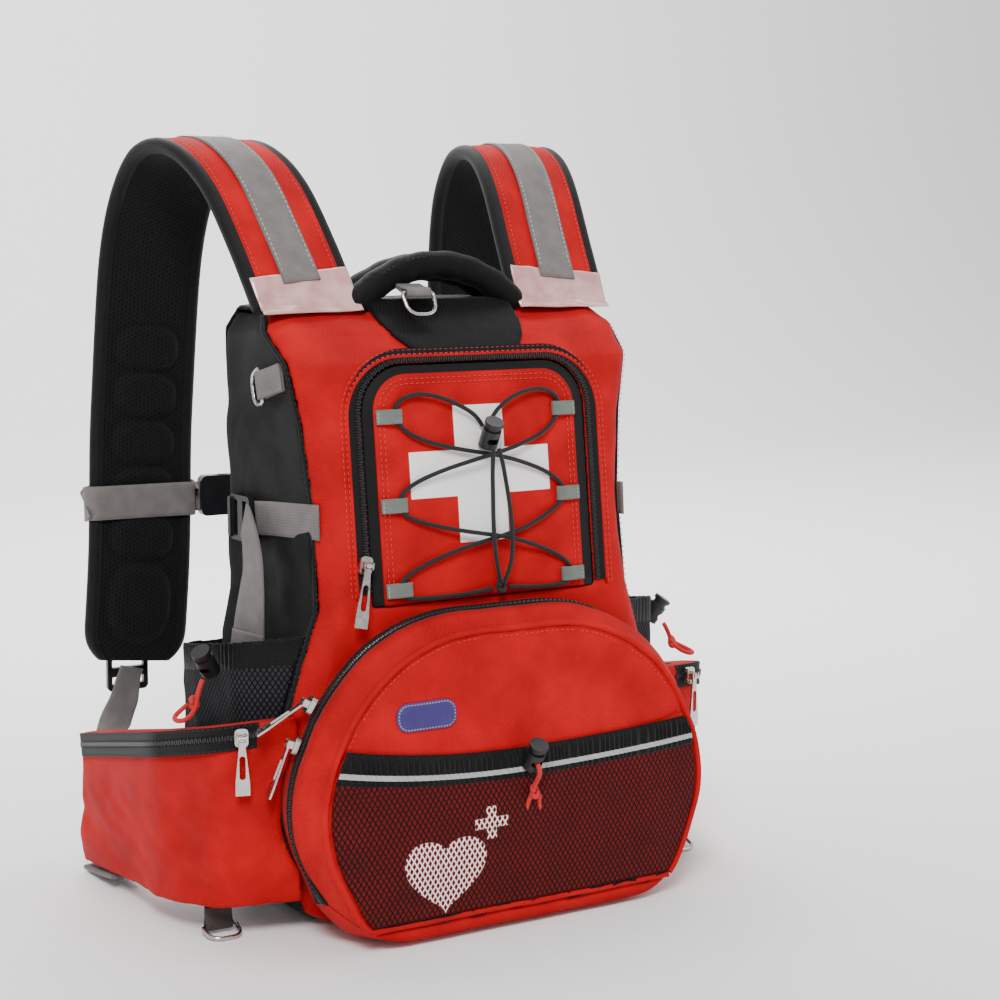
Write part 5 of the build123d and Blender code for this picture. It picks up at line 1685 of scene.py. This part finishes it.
for side, flip in (("left", 1), ("right", -1)):
    folded_tab(f"side_ring_tab_{side}", *RING_SEATS["side"], grey_webbing, "grey_webbing", flip,
               "webbing_tabs" if side == "left" else None)
    folded_tab(f"base_ring_tab_{side}", *RING_SEATS["base"], brown_webbing, "loop_webbing", flip)
    wing_tab = smooth_line(mm([(-219, 42, 11), (-220, 70, 6.5), (-221, 100, 3.4)]), 20) * (flip, 1, 1)
    grey_strip(f"wing_tab_{side}", wing_tab, (1, 0, 0), 25, 3.4)
folded_tab("top_ring_tab", *RING_SEATS["top"], grey_webbing, "grey_webbing")

# %% [markdown]
# A black strap runs up the upper bay and closes with a buckle, so what is packed there stays in
# when the flap is open. It shows only then.

# %% Strap across the upper bay
for name, low, high in (("low", -0.3, 62.5), ("high", 98.5, 175.8)):
    line = np.array([on_flap(0, y, -9.5) for y in np.linspace(low, high, 24)])
    strip = swept(line, (1, 0, 0), flat_section(25, 1.7), f"retention_webbing_{name}",
                  [black_webbing], "pack", slot="black_webbing")
    if name == "low":
        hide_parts("retention_strap")
print("handle, tabs and inner strap done")

# %% [markdown]
# ## Seams of the body
# Where two panels meet, the seam is bound with a narrow black tape and stitched on each side.

# %% Body seams
seam_lines, seam_facings = [], []
lift = 0.9
for flip in (1, -1):
    for shift in (-3.2, 3.2):
        line = []
        for height in np.linspace(6, 434, 120):
            across, depth = body_side(height, 16.0 + shift)
            line.append((-(across + lift) * flip, depth, height))
        seam_lines.append(np.array(line) * MM)
        seam_facings.append((-flip, -0.3, 0))
stitches("body_seam_stitches", seam_lines, seam_facings, black_thread, "pack", slot="black_fabric")
for side, flip in (("left", 1), ("right", -1)):
    line = []
    for height in np.linspace(4, 436, 120):
        across, depth = body_side(height, 16.0)
        line.append((-(across + 0.5) * flip, depth, height))
    swept(np.array(line) * MM, (0, 1, 0), round_section(1.5, 8), f"body_seam_{side}",
          [black_binding], "pack", slot="black_fabric")
print("body seams done")

# %% [markdown]
# ## Hard fittings
# The sliders, pulls, rings and buckles stay as the CAD made them and are given their finishes:
# bright cast nickel for the metal, glossy moulded acetal for the plastic.

# %% Finishes for the fittings
def finish_hard(names, finish):
    for name in names:
        thing = nodes[name]
        thing.data.materials.clear()
        thing.data.materials.append(finish)


zips = ("flap", "lid_upper", "lid_lower", "hip_left", "hip_right")
finish_hard([f"{z}_{part}" for z in zips for part in ("slider", "pull")], nickel)
finish_hard(["side_ring_left", "side_ring_right", "base_ring_left", "base_ring_right", "top_ring"], nickel)
finish_hard(["ladder_locks", "flap_lock", "flap_button", "lid_lock", "lid_button", "pocket_locks",
             "pocket_button_left", "pocket_button_right", "sternum_socket", "sternum_plug",
             "retention_socket", "retention_plug"], black_acetal)
print("fittings finished")

# %% [markdown]
# ## Camera, floor and light
# The pack is seen from its front left, a little above, on a pale floor in soft studio light: a
# large lamp high on the left, a weaker one on the right and a pale sky that fills the shadows.

# %% Camera
camera_data = bpy.data.cameras.new("camera")
camera = bpy.data.objects.new("camera", camera_data)
bpy.context.scene.collection.objects.link(camera)
camera.location = (-0.723, -1.360, 0.498)
PITCH_DOWN, YAW_RIGHT = 7.8, 30.7
camera.rotation_euler = (math.radians(90 - PITCH_DOWN), 0, -math.radians(YAW_RIGHT))
SENSOR, LENS = 36.0, 72.0
camera_data.sensor_width, camera_data.lens = SENSOR, LENS
bpy.context.scene.camera = camera

# %% [markdown]
# The floor is one sheet of pale paper that curves up behind the pack, so no horizon shows.

# %% Floor and light
sweep_rows = [(y, 0.0) for y in (-4.0, -2.0, 0.0, 2.2)]
sweep_rows += [(2.2 + 1.6 * math.sin(t), 1.6 - 1.6 * math.cos(t)) for t in np.linspace(0.1, math.pi / 2, 16)]
sweep_rows.append((3.8, 6.0))
floor_mesh = bpy.data.meshes.new("floor")
floor_mesh.from_pydata([(x, y, z) for y, z in sweep_rows for x in (-7, 7)], [], lattice(len(sweep_rows), 2))
floor_mesh.polygons.foreach_set("use_smooth", [True] * len(floor_mesh.polygons))
floor = bpy.data.objects.new("floor", floor_mesh)
bpy.context.scene.collection.objects.link(floor)
paper = start_finish("pale_paper", "FAFAFA", 0.9)[0]
floor_mesh.materials.append(paper)

world = bpy.data.worlds.new("studio")
bpy.context.scene.world = world
world.use_nodes = True
world.node_tree.nodes["Background"].inputs["Color"].default_value = (1, 1, 1, 1)
world.node_tree.nodes["Background"].inputs["Strength"].default_value = 0.62


def lamp(name, spot, aim, size, power):
    data = bpy.data.lights.new(name, "AREA")
    data.shape, data.size, data.energy = "SQUARE", size, power
    thing = bpy.data.objects.new(name, data)
    bpy.context.scene.collection.objects.link(thing)
    thing.location = spot
    way = Vector(aim) - Vector(spot)
    thing.rotation_euler = way.to_track_quat("-Z", "Y").to_euler()


lamp("key", (-1.1, -1.7, 2.0), (0, -0.1, 0.25), 0.8, 62)
lamp("fill", (1.5, -1.2, 1.0), (0, -0.1, 0.25), 1.2, 9)
lamp("rim", (0.3, 1.4, 1.6), (0, 0, 0.35), 0.8, 16)
lamp("backdrop", (0.6, 0.9, 2.6), (1.2, 3.8, 0.6), 2.4, 150)
